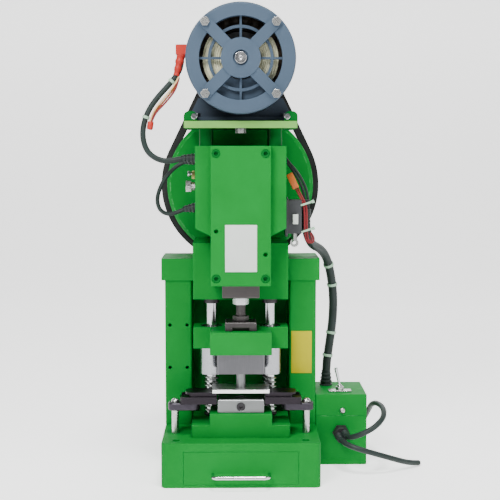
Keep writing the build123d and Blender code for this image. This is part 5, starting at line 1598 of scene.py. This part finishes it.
@dataclass
class TripAndBrake:
    """The solenoid trip at the right of the head and the brake at its left."""

    yoke_top: float = 0.376
    trip_side: float = 0.0
    coil_plate: Plate = (0.0739, 0.3588, 0.0815, 0.3728)
    plate_thickness: float = 0.4 * MM
    clamp_low: Point = (-0.0715, 0.0085, 0.4210)
    clamp_high: Point = (-0.0630, 0.0215, 0.4330)
    clamp_bolt: Tuple[Point, Point] = ((-0.0713, 0.015, 0.4288), (-0.0800, 0.015, 0.4288))
    bolt_outline: Outline = (
        (0.0, 0.0), (0.0024, 0.0), (0.0024, 0.0015), (0.0040, 0.0015), (0.0042, 0.0020), (0.0042, 0.0052),
        (0.0036, 0.0058), (0.0, 0.0058),
    )
    washer: Tuple[Point, Point] = ((-0.0631, 0.015, 0.4105), (-0.0700, 0.015, 0.4105))
    washer_outline: Outline = (
        (0.0065, 0.0), (0.0098, 0.0), (0.0098, 0.0022), (0.0065, 0.0022), (0.0065, 0.0),
    )

    def build(self) -> None:
        """Dresses the trip and the brake."""
        DressedNode(
            "solenoid", COIL_BLACK, Slot.COIL_PLASTIC, EDGE_BROAD, other=COIL_GREY,
            chosen=lambda spot, _: spot.z < self.yoke_top,
        ).build()
        front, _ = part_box("solenoid")
        left, foot, right, top = self.coil_plate
        low = (left, front.y - self.plate_thickness, foot)
        high = (right, front.y + self.plate_thickness, top)
        plate = box_mesh("coil_plate", low, high, EDGE_HAIR)
        placed("coil_plate", plate, PLATE_WHITE, Body.FRAME)
        DressedNode("trip_rod", ZINC, Slot.GROUND_STEEL, EDGE_SLIGHT, Body.TRIP).build()
        DressedNode(
            "lead_connectors", RED, Slot.RED_PLASTIC, EDGE_WIDE, other=PLUG,
            chosen=lambda spot, _: spot.x > self.trip_side,
        ).build()
        DressedNode("brake_pad", LINING, Slot.BRAKE_LINING, EDGE_FINE).build()
        DressedNode("brake_adjuster", ZINC, Slot.ZINC_STEEL, EDGE_SMALL).build()
        DressedNode("brake_spring", OLIVE_ZINC, Slot.ZINC_STEEL, 0.0).build()
        self.brake_clamp()

    def brake_clamp(self) -> None:
        """Sets the olive clamp over the brake's adjuster, its bright bolt and a bronze washer."""
        clamp = box_mesh("brake_clamp", self.clamp_low, self.clamp_high, EDGE_HEAVY)
        placed("brake_clamp", clamp, OLIVE_ZINC, Body.FRAME)
        bolt = turned_mesh("clamp_bolt", self.bolt_outline, along(*self.clamp_bolt), 28)
        placed("clamp_bolt", bolt, BRIGHT, Body.FRAME)
        ring = turned_mesh("brake_washer", self.washer_outline, along(*self.washer), 32)
        placed("brake_washer", ring, BRONZE, Body.FRAME)


@dataclass
class ControlBox:
    """The control box beside the base, with its switch and gland."""

    lid_screw: Point = (0.150, -0.0132, 0.081)
    screw_dome: Outline = (
        (0.0, 0.0024), (0.0016, 0.0023), (0.0031, 0.0018), (0.0041, 0.0009), (0.0044, 0.0), (0.0, -0.0005),
    )

    def build(self) -> None:
        """Dresses the box, its switch and its gland, and sets the lid's screw."""
        DressedNode("control_box", GREEN, Slot.GREEN_PAINT, EDGE_BROAD).build()
        DressedNode("box_lid", GREEN, Slot.GREEN_PAINT, EDGE_BROAD).build()
        DressedNode("toggle_base", ZINC, Slot.ZINC_STEEL, EDGE_SLIGHT).build()
        DressedNode("toggle_lever", BRIGHT, Slot.BRIGHT_STEEL, EDGE_FINE, Body.TOGGLE).build()
        DressedNode("cable_gland", PLUG, Slot.COIL_PLASTIC, EDGE_MIDDLE).build()
        mesh = turned_mesh("lid_screw", self.screw_dome, facing_front(*self.lid_screw), 28)
        placed("lid_screw", mesh, ZINC, Body.FRAME)


@dataclass
class Studio:
    """The pale floor, the soft lights and the camera."""

    eye: Point = (-0.0080, -1.6625, 0.4620)
    pitch: float = 0.0867
    yaw: float = 0.0132
    lens: float = 82.01
    floor_reach: float = 7.0
    floor_front: float = -7.0
    sweep_start: float = 1.6
    sweep_radius: float = 0.9
    sweep_steps: int = 14
    wall_height: float = 4.0
    sky: float = 0.22
    aim: Point = (0.0, 0.0, 0.3)
    sensor: float = 36.0
    lamps: Tuple[Tuple[str, Point, float, float], ...] = (
        ("key_box", (-0.6, -1.5, 1.5), 44.0, 0.7),
        ("fill_box", (1.5, -1.2, 0.9), 12.0, 1.0),
        ("top_box", (0.15, -0.55, 2.0), 34.0, 0.4),
    )

    def build(self) -> None:
        """Sets up the floor, the lights and the camera."""
        self.floor()
        self.lights()
        self.camera()

    def floor(self) -> None:
        """Lays the floor with a sweep up behind the machine."""
        work = bmesh.new()
        start, radius, steps = self.sweep_start, self.sweep_radius, self.sweep_steps
        profile = [(self.floor_front, 0.0), (start, 0.0)]
        for i in range(1, steps + 1):
            angle = math.pi / 2 * i / steps
            profile.append((start + radius * math.sin(angle), radius - radius * math.cos(angle)))
        profile.append((start + radius, self.wall_height))
        sides = (-self.floor_reach, self.floor_reach)
        rows = [[work.verts.new((x, y, z)) for y, z in profile] for x in sides]
        for i in range(len(profile) - 1):
            work.faces.new((rows[0][i], rows[1][i], rows[1][i + 1], rows[0][i + 1]))
        mesh = bpy.data.meshes.new("floor")
        work.to_mesh(mesh)
        work.free()
        mesh.shade_smooth()
        mesh.materials.append(FLOOR.material())
        obj = bpy.data.objects.new("floor", mesh)
        bpy.context.scene.collection.objects.link(obj)

    def lights(self) -> None:
        """Hangs three soft boxes and an even pale sky."""
        world = bpy.data.worlds.new("studio_sky")
        bpy.context.scene.world = world
        world.use_nodes = True
        sky = world.node_tree.nodes["Background"]
        sky.inputs["Color"].default_value = (1.0, 1.0, 1.0, 1.0)
        sky.inputs["Strength"].default_value = self.sky
        for name, place, power, size in self.lamps:
            lamp = bpy.data.lights.new(name, "AREA")
            lamp.energy = power
            lamp.size = size
            obj = bpy.data.objects.new(name, lamp)
            obj.location = place
            aim = Vector(self.aim) - Vector(place)
            obj.rotation_euler = aim.to_track_quat("-Z", "Y").to_euler()
            bpy.context.scene.collection.objects.link(obj)

    def camera(self) -> None:
        """Stands the camera in front, a little above the middle of the machine."""
        lens = bpy.data.cameras.new("camera")
        lens.sensor_width = self.sensor
        lens.lens = self.lens
        obj = bpy.data.objects.new("camera", lens)
        obj.location = self.eye
        obj.rotation_euler = (math.pi / 2 - self.pitch, 0.0, -self.yaw)
        bpy.context.scene.collection.objects.link(obj)
        bpy.context.scene.camera = obj


def main() -> None:
    """Builds the press in order and reports each piece."""
    logging.basicConfig(level=logging.INFO, format="%(name)s: %(message)s")
    Studio().build()
    Leads().build()
    Base().build()
    Column().build()
    Tool().build()
    RamDrive().build()
    BeltDrive().build()
    Motor().build()
    TripAndBrake().build()
    ControlBox().build()


if __name__ == "__main__":
    main()
